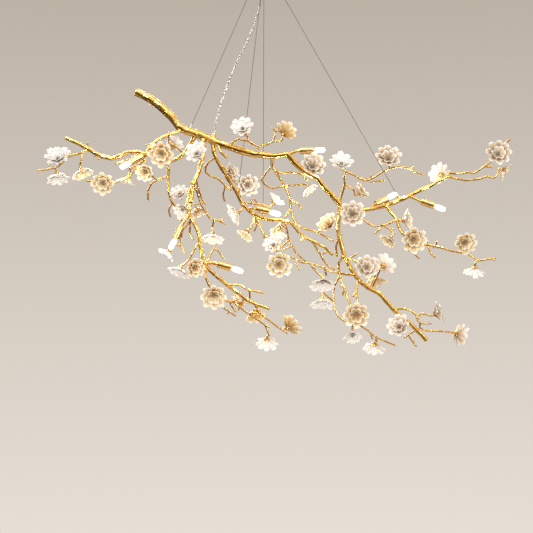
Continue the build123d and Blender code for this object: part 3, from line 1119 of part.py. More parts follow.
def gripper_ring():
    return [Location((cable_exit(cable).X, cable_exit(cable).Y, 0)) for cable in CABLES]


def cable_hub():
    with BuildPart() as hub:
        with BuildSketch(Plane.XY.offset(HUB_TOP)):
            Circle(HUB_RADIUS)
        extrude(amount=-HUB_HEIGHT)
        fillet(hub.edges().group_by(Axis.Z)[0], 4)
        with BuildSketch(Plane.XY.offset(HUB_TOP)):
            Circle(NIPPLE_RADIUS + THREAD_CLEARANCE)
        extrude(amount=-NIPPLE_IN_HUB, mode=Mode.SUBTRACT)
        with BuildSketch(Plane.XY.offset(HUB_TOP)):
            Circle(CORD_HOLE_RADIUS)
        extrude(amount=-HUB_HEIGHT, mode=Mode.SUBTRACT)
        with BuildSketch(Plane.XY.offset(HUB_FOOT)):
            Circle(HUB_GLAND_SHANK_RADIUS + THREAD_CLEARANCE)
            with Locations(*gripper_ring()):
                Circle(GRIPPER_RADIUS + THREAD_CLEARANCE)
        extrude(amount=GRIPPER_IN_HUB, mode=Mode.SUBTRACT)
        with BuildSketch(Plane.XY.offset(HUB_FOOT)):
            with Locations(*gripper_ring()):
                Circle(CABLE_HOLE_RADIUS)
        extrude(amount=CABLE_TOP + 1 - HUB_FOOT, mode=Mode.SUBTRACT)
    return hub.part


def cable_gripper():
    """Barrel screwed into the hub, open below for the plunger, with a cable hole through its top."""
    top = HUB_FOOT + GRIPPER_IN_HUB
    bore = PLUNGER_RADIUS + PLUNGER_CLEARANCE
    bore_top = PLUNGER_FOOT + PLUNGER_LENGTH + PLUNGER_TRAVEL + 0.5
    return turned([
        (CABLE_HOLE_RADIUS, top), (GRIPPER_RADIUS, top), (GRIPPER_RADIUS, GRIPPER_FOOT), (bore, GRIPPER_FOOT),
        (bore, bore_top), (CABLE_HOLE_RADIUS, bore_top)])


def gripper_plunger():
    """Release pin of a gripper: pushed up, it lets its cable run."""
    top = PLUNGER_FOOT + PLUNGER_LENGTH
    return turned([
        (CABLE_HOLE_RADIUS, top), (PLUNGER_RADIUS, top), (PLUNGER_RADIUS, PLUNGER_FOOT),
        (CABLE_MOUTH_RADIUS, PLUNGER_FOOT), (CABLE_HOLE_RADIUS, PLUNGER_FOOT + CABLE_MOUTH_DEPTH)])


def hub_gland():
    return turned([
        (CORD_HOLE_RADIUS, HUB_FOOT + HUB_GLAND_SHANK - 0.5),
        (HUB_GLAND_SHANK_RADIUS, HUB_FOOT + HUB_GLAND_SHANK - 0.5),
        (HUB_GLAND_SHANK_RADIUS, HUB_FOOT), (HUB_GLAND_BODY_RADIUS, HUB_FOOT),
        (HUB_GLAND_BODY_RADIUS, HUB_FOOT - 6),
        (HUB_GLAND_TIP_RADIUS, GLAND_FOOT), (CORD_HOLE_RADIUS, GLAND_FOOT)])


def trunk_gland():
    flat, axis = cord_seat()
    return turned([
        (CORD_HOLE_RADIUS, 0), (TRUNK_GLAND_RADIUS, 0), (TRUNK_GLAND_RADIUS, TRUNK_GLAND_HEIGHT * 0.6),
        (TRUNK_GLAND_TIP_RADIUS, TRUNK_GLAND_HEIGHT), (CORD_HOLE_RADIUS, TRUNK_GLAND_HEIGHT)],
    ).moved(frame_at(flat, axis))


def grub_screws():
    screws = []
    for graft in GRAFTS.values():
        foot, out = grub_line(graft)
        length = graft.radius * (1 - SPIGOT_SHARE) + COLLAR_LIP - GRUB_RECESS
        screws.append(rod(foot + out * 0.05, foot + out * (0.05 + length), GRUB_RADIUS))
    return Compound(label="spigot_grub_screws", children=screws)


def save(part, label):
    part.label = label
    export_step(part, "parts/" + label + ".step")


def main():
    for name in BOUGHS:
        save(casting(name), name)
    save(wiring(), "wiring_harness")
    save(grub_screws(), "spigot_grub_screws")

    lamps = lamp_places()
    save(spread_out(lamp_sleeve(), lamps, "lamp_sleeves"), "lamp_sleeves")
    save(spread_out(stem_nut(), lamps, "stem_nuts"), "stem_nuts")
    save(spread_out(lampholder(), lamps, "lampholders"), "lampholders")
    base, envelope = bulb()
    for number, location in enumerate(lamps, 1):
        save(Compound(children=[base.moved(location), envelope.moved(location)]), f"bulb_{number}")

    seats = [frame_at(seat(blossom), facing(blossom)) for blossom in BLOSSOMS]
    save(spread_out(calyx(), seats, "calyxes"), "calyxes")
    save(spread_out(bead(), seats, "pistil_beads"), "pistil_beads")
    second_foot = CALYX_HEIGHT + PETAL_THICKNESS
    outer = {}
    inner = {}
    for size in (LARGE, MEDIUM, SMALL):
        outer[size] = whorl(size, CALYX_HEIGHT, WHORL_FLAT, OUTER_RISE, OUTER_PETALS)
        inner[size] = whorl(size * INNER_SHARE, second_foot, INNER_FLAT, INNER_RISE, INNER_PETALS)
    for tone in TONES:
        picked = [(blossom, location) for blossom, location in zip(BLOSSOMS, seats) if blossom.tone == tone]
        for ring, templates in (("outer", outer), ("inner", inner)):
            label = f"{tone}_{ring}_whorls"
            rings = [templates[blossom.size].moved(location) for blossom, location in picked]
            save(Compound(children=rings), label)

    anchors = [frame_at(*anchor_seat(cable)) for cable in CABLES]
    save(spread_out(anchor(), anchors, "cable_anchors"), "cable_anchors")
    for number, cable in enumerate(CABLES, 1):
        save(suspension_cable(cable), f"suspension_cable_{number}")
        save(gripper_plunger().moved(gripper_ring()[number - 1]), f"gripper_plunger_{number}")
    save(spread_out(cable_gripper(), gripper_ring(), "cable_grippers"), "cable_grippers")
    save(tube_along(cord_points(), CORD_RADIUS), "power_cord")
    save(trunk_gland(), "trunk_gland")
    save(hub_gland(), "hub_gland")
    save(supply_lead(), "supply_lead")
    save(cable_hub(), "cable_hub")
    save(hub_nipple(), "hub_nipple")
    save(hub_locknut(), "hub_locknut")
    save(terminal_block(), "terminal_block")
    save(earth_screw(), "earth_screw")
    save(ceiling_bracket(), "ceiling_bracket")
    save(canopy_cover(), "canopy_cover")


if __name__ == "__main__":
    main()
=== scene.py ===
import math
import random
from collections import namedtuple

import bmesh
import bpy
import numpy as np
from mathutils import Matrix, Vector, noise
from mathutils.kdtree import KDTree


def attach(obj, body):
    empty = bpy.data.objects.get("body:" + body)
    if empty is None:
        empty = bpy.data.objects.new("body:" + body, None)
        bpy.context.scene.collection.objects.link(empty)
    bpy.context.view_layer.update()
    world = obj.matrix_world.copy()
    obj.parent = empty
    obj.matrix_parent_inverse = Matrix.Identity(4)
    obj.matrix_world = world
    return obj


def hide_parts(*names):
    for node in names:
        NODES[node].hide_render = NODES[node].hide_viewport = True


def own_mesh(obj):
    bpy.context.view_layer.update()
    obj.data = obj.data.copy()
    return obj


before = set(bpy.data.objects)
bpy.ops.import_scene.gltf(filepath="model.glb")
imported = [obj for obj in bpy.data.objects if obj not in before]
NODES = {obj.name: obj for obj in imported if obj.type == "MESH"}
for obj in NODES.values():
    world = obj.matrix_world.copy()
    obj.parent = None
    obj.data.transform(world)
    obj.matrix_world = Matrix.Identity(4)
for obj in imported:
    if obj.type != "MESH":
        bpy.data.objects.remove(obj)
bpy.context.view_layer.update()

MM = 0.001
WELD = 1e-6                   # points nearer than this are one
ABOUT_A_TURN = 6.28           # range of a random angle

# Picture and camera
PICTURE_WIDTH = 533           # pixels
SPAN = 1.514                  # of the branch
SPAN_PIXELS = 473
PIXEL = SPAN / SPAN_PIXELS
VIEW_DISTANCE = 4.0
EYE = (0.008, -VIEW_DISTANCE, -1.026)
SENSOR = 36.0                 # millimetres
VIEW_END = 50
OBJECT_MIDDLE = Vector((0.0, 0.0, -0.85))

# Suspension
CABLE_DIAMETER = 0.0016
CABLE_STRANDS = 6
CABLE_GROOVE = 0.16           # depth between strands, as a share of the radius
CABLE_LAY = 0.011             # one turn of a strand
CABLE_SIDES = 12
CABLE_STEP = 0.0012
CABLE_RESOLUTION = 1024
CABLE_TOP = -0.04             # inside the hub
CABLE_FIXED = -0.06875        # mouth of the gripper
ANCHOR_HOLD = 0.0068          # length held in the anchor
CORD_DIAMETER = 0.005
CORD_SIDES = 20
CORD_RESOLUTION = 24
CORD_FIXED = -0.05
GLAND_HOLD = 0.0235           # length held in the gland
LEAD_RADIUS = 0.0008
LEAD_OFFSET = 0.00095
LEAD_PITCH = 0.056
LEAD_SIDES = 8

# Cables: place round the hub, a point shortly below the gripper's mouth, and the anchor
CABLES = [
    ((-0.009, 0.0), (-0.01303, 0.0, -0.0779), (-0.23228, -0.00035, -0.57527)),
    ((0.0, -0.009), (-0.00114, -0.00866, -0.07868), (-0.08136, 0.01525, -0.77453)),
    ((0.0, 0.009), (-0.00004, 0.00922, -0.07875), (-0.00295, 0.02646, -0.85683)),
    ((0.009, 0.0), (0.01398, 0.0001, -0.07742), (0.42904, 0.00806, -0.80021)),
]
CORD_ROUTE = [
    (0.0, 0.0, CORD_FIXED), (0.0, 0.0, -0.092), (-0.0019, 0.002, -0.1341),
    (-0.0141, 0.005, -0.1943), (-0.0301, 0.006, -0.2486), (-0.0529, 0.004, -0.3067),
    (-0.0807, 0.001, -0.3601), (-0.1056, -0.002, -0.4133), (-0.1253, -0.005, -0.4682),
    (-0.1419, -0.006, -0.5194), (-0.1553, -0.007, -0.5723), (-0.1611, -0.0064, -0.6191),
]

CASTINGS = [
    "trunk", "left_bough", "back_left_bough", "drooping_left_bough", "lower_left_twig",
    "middle_bough", "upper_twig", "back_centre_bough", "right_bough", "upper_right_bough",
    "lower_right_bough", "right_drooping_bough", "low_centre_twig", "long_low_twig",
    "right_tip_twig",
]
TONES = ("white", "champagne", "blush")
LAMP_COUNT = 7
GRIPPER_COUNT = 4


# Nodes of materials and of the world

COLOUR_MIX_SHARE, COLOUR_MIX_A, COLOUR_MIX_B = 0, 6, 7
COLOUR_MIX_RESULT = 2
NEW_STOP = 0.5


def node_of(owner, kind, **values):
    """New node in a material or world, with attributes and input sockets set by name."""
    new = owner.node_tree.nodes.new(kind)
    for key, value in values.items():
        if hasattr(new, key):
            setattr(new, key, value)
        else:
            new.inputs[key.replace("_", " ")].default_value = value
    return new


def join(owner, source, output, target, socket):
    owner.node_tree.links.new(source.outputs[output], target.inputs[socket])


def ramp(owner, places, colours):
    """Colour ramp with a colour at each place."""
    new = node_of(owner, "ShaderNodeValToRGB")
    band = new.color_ramp.elements
    while len(band) < len(places):
        band.new(NEW_STOP)
    for element, place, colour in zip(band, places, colours):
        element.position = place
        element.color = (*colour, 1)
    return new


def blend(owner, source, output, first, second):
    """Mix of two shaders by a node's output."""
    mix = node_of(owner, "ShaderNodeMixShader")
    join(owner, source, output, mix, 0)
    join(owner, first, 0, mix, 1)
    join(owner, second, 0, mix, 2)
    return mix


# Materials

EVEN = (1, 1, 1)
NOISE_RANGE = (0.3, 0.7)      # noise values that the roughness spans
METAL_STOPS = (0.32, 0.68)
SPECK_STOPS = (0.3, 0.7)
SPECK_BUMP = (0.05, 0.0003)

BARK_TINTS = ((0.76, 0.41, 0.08), (0.93, 0.575, 0.145), (1.0, 0.72, 0.28))
BARK_TINT_STOPS = (0.25, 0.5, 0.78)
# Patina and painted shade in the creases of the bark; white leaves the gold as it is
PATINA_AND_SHADE_TINTS = ((0.34, 0.25, 0.16), (1.0, 1.0, 1.0))
PATINA_AND_SHADE_STOPS = (0.40, 0.50)
PATINA_AND_SHADE_SHARE = 0.85

# Petal ramp: painted shade deep at the root, the tone's own colour in the body, and a painted
# highlight along the rim
PETAL_STOPS = (0.0, 0.32, 0.62, 0.86)
PETAL_CLOUD = 0.34            # how far a soft cloud shifts the shade, end to end

GLASS_TINTS = ((1.0, 0.70, 0.36), (1.0, 0.88, 0.66), (1.0, 0.96, 0.86))
GLASS_STOPS = (0.0, 0.45, 1.0)


def surface_of(made):
    return made.node_tree.nodes["Principled BSDF"]


def shader(name, **values):
    """New material with its principled shader's sockets set."""
    made = bpy.data.materials.new(name)
    made.use_nodes = True
    for socket, value in values.items():
        surface_of(made).inputs[socket.replace("_", " ")].default_value = value
    return made


def grain(made, scale, detail=4.0, roughness=0.55, stretch=EVEN):
    """Noise in the object's own coordinates."""
    where = node_of(made, "ShaderNodeTexCoord")
    turn = node_of(made, "ShaderNodeMapping", Scale=stretch)
    speck = node_of(
        made, "ShaderNodeTexNoise", Scale=scale, Detail=detail, Roughness=roughness)
    join(made, where, "Object", turn, "Vector")
    join(made, turn, "Vector", speck, "Vector")
    return speck


def tinted(made, source, output, places, colours):
    """Base colour by a ramp over a node's output."""
    tint = ramp(made, places, colours)
    join(made, source, output, tint, "Fac")
    join(made, tint, "Color", surface_of(made), "Base Color")


def vary_roughness(made, source, low, high):
    span = node_of(
        made, "ShaderNodeMapRange", From_Min=NOISE_RANGE[0], From_Max=NOISE_RANGE[1],
        To_Min=low, To_Max=high)
    join(made, source, "Fac", span, "Value")
    join(made, span, "Result", surface_of(made), "Roughness")


def bumped(made, source, strength, distance):
    bump = node_of(made, "ShaderNodeBump", Strength=strength, Distance=distance)
    join(made, source, "Fac", bump, "Height")
    join(made, bump, "Normal", surface_of(made), "Normal")


def mottled(name, stops, dark, light, scale, rough, bump, stretch=EVEN, **values):
    """Material whose colour and roughness vary with one noise."""
    made = shader(name, **values)
    speck = grain(made, scale, stretch=stretch)
    tinted(made, speck, "Fac", stops, (dark, light))
    vary_roughness(made, speck, *rough)
    if bump:
        bumped(made, speck, *bump)
    return made


def metal(name, dark, light, scale, rough, bump=None, stretch=EVEN):
    return mottled(name, METAL_STOPS, dark, light, scale, rough, bump, stretch, Metallic=1.0)


def speckled(name, dark, light, scale, rough, **values):
    return mottled(name, SPECK_STOPS, dark, light, scale, rough, SPECK_BUMP, **values)


def bark_gold():
    """Cast and gilded bark: brown in the creases, as patina and as painted shade, bright on the
    ridges, with a fine pitted skin.
    """
    made = shader("bark_gold", Metallic=1.0, Coat_Weight=0.25, Coat_Roughness=0.1)
    patch = grain(made, scale=90.0)
    tint = ramp(made, BARK_TINT_STOPS, BARK_TINTS)
    join(made, patch, "Fac", tint, "Fac")
    # Patina and painted shade: creases, found by pointiness, are darkened towards brown
    shape = node_of(made, "ShaderNodeNewGeometry")
    patina_and_shade = ramp(made, PATINA_AND_SHADE_STOPS, PATINA_AND_SHADE_TINTS)
    join(made, shape, "Pointiness", patina_and_shade, "Fac")
    both = node_of(made, "ShaderNodeMix", data_type="RGBA", blend_type="MULTIPLY")
    both.inputs[COLOUR_MIX_SHARE].default_value = PATINA_AND_SHADE_SHARE
    join(made, tint, "Color", both, COLOUR_MIX_A)
    join(made, patina_and_shade, "Color", both, COLOUR_MIX_B)
    join(made, both, COLOUR_MIX_RESULT, surface_of(made), "Base Color")
    pits = grain(made, scale=520.0, detail=6.0, roughness=0.6)
    vary_roughness(made, pits, low=0.08, high=0.18)
    bumped(made, pits, strength=0.035, distance=0.0003)
    return made


def porcelain(name, deep, body, light, rim):
    """Glazed petal: its own tone, with painted shade towards its root and a painted highlight along
    its rim.
    """
    made = shader(
        name, Roughness=0.28, IOR=1.5, Coat_Weight=0.35, Coat_Roughness=0.12,
        Subsurface_Weight=0.18, Subsurface_Scale=0.004, Subsurface_Radius=(1.0, 0.75, 0.55))
    shade = node_of(made, "ShaderNodeAttribute", attribute_name="shade")
    cloud = grain(made, scale=90.0, detail=3.0)
    drift = node_of(made, "ShaderNodeMath", operation="MULTIPLY_ADD")
    drift.inputs[1].default_value = PETAL_CLOUD
    drift.inputs[2].default_value = -PETAL_CLOUD / 2
    mixed = node_of(made, "ShaderNodeMath", operation="ADD", use_clamp=True)
    join(made, cloud, "Fac", drift, 0)
    join(made, shade, "Fac", mixed, 0)
    join(made, drift, "Value", mixed, 1)
    tinted(made, mixed, "Value", PETAL_STOPS, (deep, body, light, rim))
    bumped(made, grain(made, scale=700.0, detail=3.0), strength=0.08, distance=0.0004)
    return made


def lit_glass():
    """Frosted capsule, lit from inside: white in the middle and warmer towards both ends."""
    made = shader(
        "lit_glass", Roughness=0.45, Emission_Strength=1.7, Base_Color=(0.95, 0.92, 0.85, 1))
    shade = node_of(made, "ShaderNodeAttribute", attribute_name="shade")
    warm = ramp(made, GLASS_STOPS, GLASS_TINTS)
    join(made, shade, "Fac", warm, "Fac")
    join(made, warm, "Color", surface_of(made), "Emission Color")
    return made


GOLD_BARK = bark_gold()
GOLD_PLATE = metal(
    "gold_plate", dark=(0.90, 0.58, 0.18), light=(1.0, 0.74, 0.32), scale=260.0,
    rough=(0.10, 0.20), bump=(0.05, 0.0003), stretch=(1, 1, 6))
STEEL = metal(
    "zinc_steel", dark=(0.52, 0.53, 0.55), light=(0.68, 0.69, 0.70), scale=400.0,
    rough=(0.25, 0.42), bump=(0.05, 0.0002))
NICKEL = metal(
    "nickel", dark=(0.58, 0.56, 0.52), light=(0.74, 0.72, 0.68), scale=300.0,
    rough=(0.14, 0.26), bump=(0.03, 0.0002))
CABLE_STEEL = metal(
    "cable_steel", dark=(0.10, 0.095, 0.09), light=(0.20, 0.19, 0.18), scale=900.0,
    rough=(0.6, 0.8))
BRASS = metal(
    "brass", dark=(0.66, 0.47, 0.17), light=(0.83, 0.62, 0.27), scale=400.0,
    rough=(0.2, 0.35), bump=(0.05, 0.0002))
CLEAR = speckled(
    "clear_plastic", dark=(0.86, 0.87, 0.87), light=(0.95, 0.95, 0.94), scale=300.0,
    rough=(0.08, 0.16), IOR=1.46, Transmission_Weight=0.85)
LEAD_SILVER = metal(
    "lead_silver", dark=(0.33, 0.30, 0.255), light=(0.50, 0.46, 0.40), scale=900.0,
    rough=(0.3, 0.45))
LEAD_PLASTIC = speckled(
    "lead_plastic", dark=(0.80, 0.79, 0.76), light=(0.88, 0.87, 0.85), scale=300.0,
    rough=(0.35, 0.5))
WHITE_PLASTIC = speckled(
    "white_plastic", dark=(0.80, 0.80, 0.78), light=(0.88, 0.88, 0.86), scale=250.0,
    rough=(0.35, 0.5))
CERAMIC = speckled(
    "holder_ceramic", dark=(0.82, 0.80, 0.75), light=(0.90, 0.88, 0.84), scale=350.0,
    rough=(0.3, 0.5))
PISTIL = speckled(
    "pistil_enamel", dark=(0.14, 0.105, 0.08), light=(0.38, 0.31, 0.25), scale=500.0,
    rough=(0.18, 0.34), Coat_Weight=0.4)
# deep is painted shade at the root and rim a painted highlight; body and light are each tone's own
# colour
PETALS = {
    "white": porcelain(
        "white_porcelain", deep=(0.52, 0.40, 0.29), body=(0.89, 0.815, 0.73),
        light=(0.96, 0.93, 0.89), rim=(0.97, 0.955, 0.93)),
    # The champagne tone is partly the porcelain's own colour and partly painted warm light from the
    # bulbs
    "champagne": porcelain(
        "champagne_porcelain", deep=(0.27, 0.15, 0.05), body=(0.56, 0.37, 0.165),
        light=(0.84, 0.67, 0.41), rim=(0.96, 0.91, 0.80)),
    "blush": porcelain(
        "blush_porcelain", deep=(0.20, 0.13, 0.075), body=(0.49, 0.355, 0.235),
        light=(0.81, 0.68, 0.525), rim=(0.96, 0.92, 0.865)),
}
LIT_GLASS = lit_glass()


# Meshes

PLAIN_SHADE = 0.5


def linked(name, data):
    """New object in the scene."""
    obj = bpy.data.objects.new(name, data)
    bpy.context.scene.collection.objects.link(obj)
    return obj


def smooth(mesh):
    mesh.polygons.foreach_set("use_smooth", [True] * len(mesh.polygons))


def dress(name, mesh, material, body, replaced=()):
    """Makes a mesh a piece that rides on a body, in place of the CAD nodes named."""
    obj = linked(name, mesh)
    mesh.materials.clear()
    mesh.materials.append(material)
    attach(obj, body)
    if replaced:
        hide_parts(*replaced)
    return obj


class Shape:
    """Points, faces and shades gathered for one mesh."""

    def __init__(self):
        self.points = []
        self.faces = []
        self.shades = []

    def add(self, points, faces, shades=None, place=None):
        points = np.asarray(points, float)
        if place is not None:
            points = points @ place[:3, :3].T + place[:3, 3]
        start = len(self.points)
        self.points.extend(map(tuple, points))
        self.faces.extend(tuple(start + i for i in face) for face in faces)
        self.shades.extend(shades if shades is not None else [PLAIN_SHADE] * len(points))

    def turned(self, profile, sides, place, shade_at=None):
        """Adds a turned shape, whose profile is in millimetres. shade_at(height) shades it."""
        points, faces = lathe(profile, sides)
        shades = [shade_at(height) for height in points[:, 2]] if shade_at else None
        self.add(points * MM, faces, shades, place)

    def piece(self, name, material, body, slot, replaced=()):
        """Turns the gathered points into a piece that rides on a body."""
        mesh = bpy.data.meshes.new(name)
        mesh.from_pydata(self.points, [], self.faces)
        mesh.update()
        smooth(mesh)
        values = mesh.attributes.new("shade", "FLOAT", "POINT")
        values.data.foreach_set("value", np.array(self.shades, np.float32))
        return dress(name, mesh, material, body, replaced)


def lathe(profile, sides):
    """Turned shape round +Z through (radius, height) points. A radius of 0 closes an end."""
    points, faces, rows = [], [], []
    for radius, height in profile:
        if radius == 0:
            rows.append([len(points)])
            points.append((0.0, 0.0, height))
            continue
        rows.append(list(range(len(points), len(points) + sides)))
        for n in range(sides):
            angle = 2 * math.pi * n / sides
            points.append((radius * math.cos(angle), radius * math.sin(angle), height))
    for low, high in zip(rows, rows[1:]):
        for n in range(sides):
            m = (n + 1) % sides
            if len(low) == 1:
                faces.append((low[0], high[m], high[n]))
            elif len(high) == 1:
                faces.append((low[n], low[m], high[0]))
            else:
                faces.append((low[n], low[m], high[m], high[n]))
    return np.array(points), faces


def sheet_faces(rows, columns):
    """Faces of a closed thin sheet: an upper grid of points, a lower one, and the rim between."""
    count = rows * columns
    faces = []
    for i in range(rows - 1):
        for j in range(columns - 1):
            a, b = i * columns + j, (i + 1) * columns + j
            faces.append((a, b, b + 1, a + 1))
            faces.append((count + a + 1, count + b + 1, count + b, count + a))
    border = list(range(columns))
    border += [i * columns + columns - 1 for i in range(1, rows)]
    border += [(rows - 1) * columns + j for j in range(columns - 2, -1, -1)]
    border += [i * columns for i in range(rows - 2, 0, -1)]
    for a, b in zip(border, border[1:] + border[:1]):
        faces.append((a, b, count + b, count + a))
    return faces


def welded(node):
    """A CAD node's mesh with the points of its faces joined."""
    mesh = bmesh.new()
    mesh.from_mesh(NODES[node].data)
    bmesh.ops.remove_doubles(mesh, verts=mesh.verts, dist=WELD)
    return mesh


def solids(node):
    """Points of each separate solid of a CAD node."""
    loose = welded(node)
    loose.verts.index_update()
    met, found = set(), []
    for first in loose.verts:
        if first.index in met:
            continue
        met.add(first.index)
        queue, group = [first], []
        while queue:
            vertex = queue.pop()
            group.append(tuple(vertex.co))
            for edge in vertex.link_edges:
                other = edge.other_vert(vertex)
                if other.index not in met:
                    met.add(other.index)
                    queue.append(other)
        found.append(np.array(group))
    loose.free()
    return found


def middle_of(points):
    """Middle of the points' box."""
    return (points.min(0) + points.max(0)) / 2


def upright(origin, axis):
    """Matrix of a frame whose +Z is the axis."""
    turn = Vector(axis).to_track_quat("Z", "Y").to_matrix()
    place = np.eye(4)
    place[:3, :3] = np.array(turn)
    place[:3, 3] = origin
    return place


def spun(angle):
    """Matrix of a turn round +Z."""
    turn = np.eye(4)
    turn[:2, :2] = [
        [math.cos(angle), -math.sin(angle)], [math.sin(angle), math.cos(angle)]]
    return turn


# Cords: the route's control points become one smooth spline, and the tube follows its points

SPLINE_ORDER = 3


def spline_points(route, resolution):
    """Points of a smooth spline that has the route as its control points."""
    curve = bpy.data.curves.new("route", "CURVE")
    curve.dimensions = "3D"
    line = curve.splines.new("NURBS")
    line.points.add(len(route) - 1)
    for point, spot in zip(line.points, route):
        point.co = (*spot, 1)
    line.order_u = SPLINE_ORDER
    line.use_endpoint_u = True
    line.resolution_u = resolution
    carrier = linked("route", curve)
    mesh = bpy.data.meshes.new_from_object(carrier)
    found = np.array([tuple(v.co) for v in mesh.vertices])
    bpy.data.objects.remove(carrier)
    bpy.data.curves.remove(curve)
    bpy.data.meshes.remove(mesh)
    return found


def thinned(points, step):
    """The line's points, without those nearer than step to the last one kept or to the end."""
    kept = [points[0]]
    for point in points[1:-1]:
        from_last, to_end = np.linalg.norm(point - kept[-1]), np.linalg.norm(point - points[-1])
        if from_last >= step and to_end >= step:
            kept.append(point)
    return np.array(kept + [points[-1]])


def carried_frames(path):
    """Side and up directions carried along a line without twist."""
    ways = np.gradient(path, axis=0)
    ways /= np.linalg.norm(ways, axis=1)[:, None]
    side = np.cross(ways[0], (0.0, 1.0, 0.0))
    sides, ups = [], []
    for way in ways:
        side = side - way * side.dot(way)
        side /= np.linalg.norm(side)
        sides.append(side)
        ups.append(np.cross(way, side))
    return np.array(sides), np.array(ups)


def along(path):
    """Distance from the start at each point of a line."""
    return np.concatenate([[0], np.cumsum(np.linalg.norm(np.diff(path, axis=0), axis=1))])


def tube(path, outline, sides):
    """Closed tube. outline(distance, angle) gives its radius."""
    sideways, ups = carried_frames(path)
    points, faces = [], []
    for spot, side, up, far in zip(path, sideways, ups, along(path)):
        for n in range(sides):
            angle = 2 * math.pi * n / sides
            way = math.cos(angle) * side + math.sin(angle) * up
            points.append(spot + outline(far, angle) * way)
    for low in range(0, (len(path) - 1) * sides, sides):
        high = low + sides
        for n in range(sides):
            m = (n + 1) % sides
            faces.append((low + n, low + m, high + m, high + n))
    faces.append(tuple(reversed(range(sides))))
    faces.append(tuple((len(path) - 1) * sides + n for n in range(sides)))
    return np.array(points), faces


def stranded(radius, strands, depth, pitch):
    """Outline of a laid cable, whose strands turn round it once per pitch."""
    def outline(far, angle):
        turned = strands * (angle - 2 * math.pi * far / pitch)
        return radius * (1 - depth * (0.5 - 0.5 * math.cos(turned)))
    return outline


def round_wire(radius):
    return lambda far, angle: radius


def drawn_up(obj):
    """Gives the piece a mesh of its own."""
    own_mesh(obj)


def held_from(path, held):
    """Index of the point from which the last stretch, of about that length, is held."""
    far = along(path)
    return int(np.searchsorted(far, far[-1] - held))


def hang_cables():
    """Each cable has its own strands, and its end rides with the branch in the anchor."""
    laid = stranded(CABLE_DIAMETER / 2, CABLE_STRANDS, CABLE_GROOVE, CABLE_LAY)
    for number, (mouth, bend, anchor) in enumerate(CABLES, 1):
        route = [(*mouth, CABLE_TOP), (*mouth, CABLE_FIXED), bend, anchor]
        path = thinned(spline_points(route, CABLE_RESOLUTION), CABLE_STEP)
        cut = held_from(path, ANCHOR_HOLD)
        free, held = Shape(), Shape()
        free.add(*tube(path[:cut + 1], laid, CABLE_SIDES))
        held.add(*tube(path[cut:], laid, CABLE_SIDES))
        cable = free.piece(
            f"steel_cable_{number}", CABLE_STEEL, "ceiling_mount", "steel_cable",
            [f"suspension_cable_{number}"])
        end = held.piece(f"steel_cable_end_{number}", CABLE_STEEL, "pendant", "steel_cable")
        drawn_up(cable)


def hang_cord():
    """Clear cord over two twisted leads, whose end rides with the branch in the gland."""
    path = spline_points(CORD_ROUTE, CORD_RESOLUTION)
    cut = held_from(path, GLAND_HOLD)
    sideways, ups = carried_frames(path)
    turn = 2 * math.pi * along(path)[:, None] / LEAD_PITCH
    leads = [
        path + LEAD_OFFSET * (np.cos(turn + first) * sideways + np.sin(turn + first) * ups)
        for first in (0, math.pi)]
    made = []
    for name, body, part, replaced in (
            ("power_cord", "ceiling_mount", slice(0, cut + 1), ["power_cord"]),
            ("power_cord_end", "pendant", slice(cut, None), [])):
        sleeve, core = Shape(), Shape()
        sleeve.add(*tube(path[part], round_wire(CORD_DIAMETER / 2), CORD_SIDES))
        for lead in leads:
            core.add(*tube(lead[part], round_wire(LEAD_RADIUS), LEAD_SIDES))
        made.append(sleeve.piece(f"{name}_sleeve", CLEAR, body, "clear_plastic", replaced))
        made.append(core.piece(f"{name}_leads", LEAD_SILVER, body, "clear_plastic"))
    for obj in made[:2]:
        drawn_up(obj)


# Bark: heights of the relief, and how many waves of each noise go into a metre

BARK_VOXEL = 0.00125
BARK_SMOOTHING = 5
BARK_SOFTNESS = 0.5
BARK_FILL = 0.00015
BARK_LUMP, LUMP_SCALE = 0.0002, 90.0
BARK_RIDGE, RIDGE_SCALE = 0.0012, 210.0
BARK_KNOT, KNOT_SCALE = 0.0012, 48.0
KNOT_SHIFT = Vector((2.0, 9.0, 4.0))
KNOT_LEAST = 0.2
BARK_CROOK, CROOK_SCALE = 0.0012, 30.0
GRAIN_STEP = 0.003            # grooves are drawn out along the limb in these steps
GRAIN_STEPS = range(-4, 5)
NOISE_SEED = 3

# Without a seed, noise_vector would differ from run to run
noise.seed_set(NOISE_SEED)

# Limbs: thin ones have calmer relief and a little more flesh
LIMB_REACH = 0.007
LIMB_STRIDE = 40
THIN_HALF = 0.0012
THICK_HALF = 0.0036
CALM_LEAST = 0.25
TWIG_FILL = 0.0012

# Buds: short stubs on the castings, as (share of radius, share of length) rows
BUD_SEED = 5
BUD_COUNT = 14
BUD_TRIES = BUD_COUNT * 4
BUD_CLEAR = 0.016             # free space that a bud needs
BUD_LIFT = 0.0005
BUD_SINK = 0.001
BUD_LENGTH = (0.0035, 0.0095)
BUD_RADIUS = (0.0012, 0.0018)
BUD_LEAN = 0.35
BUD_ROWS = [(1.25, 0.0), (1.0, 0.4), (0.8, 0.85), (0.45, 1.0)]
BUD_TOP = 1.03
BUD_SIDES = 8


def find_buds(node, rng):
    """Spots on a casting where a short bud stands clear of everything else."""
    faces = NODES[node].data.polygons
    sizes = np.zeros(len(faces), np.float32)
    faces.foreach_get("area", sizes)
    layers = bpy.context.evaluated_depsgraph_get()
    found = []
    for index in rng.choices(range(len(faces)), weights=sizes.tolist(), k=BUD_TRIES):
        spot, way = faces[index].center.copy(), faces[index].normal.copy()
        start = spot + way * BUD_LIFT
        if not bpy.context.scene.ray_cast(layers, start, way, distance=BUD_CLEAR)[0]:
            length, radius = rng.uniform(*BUD_LENGTH), rng.uniform(*BUD_RADIUS)
            found.append((spot, way, length, radius, rng.uniform(0, ABOUT_A_TURN)))
    return found[:BUD_COUNT]


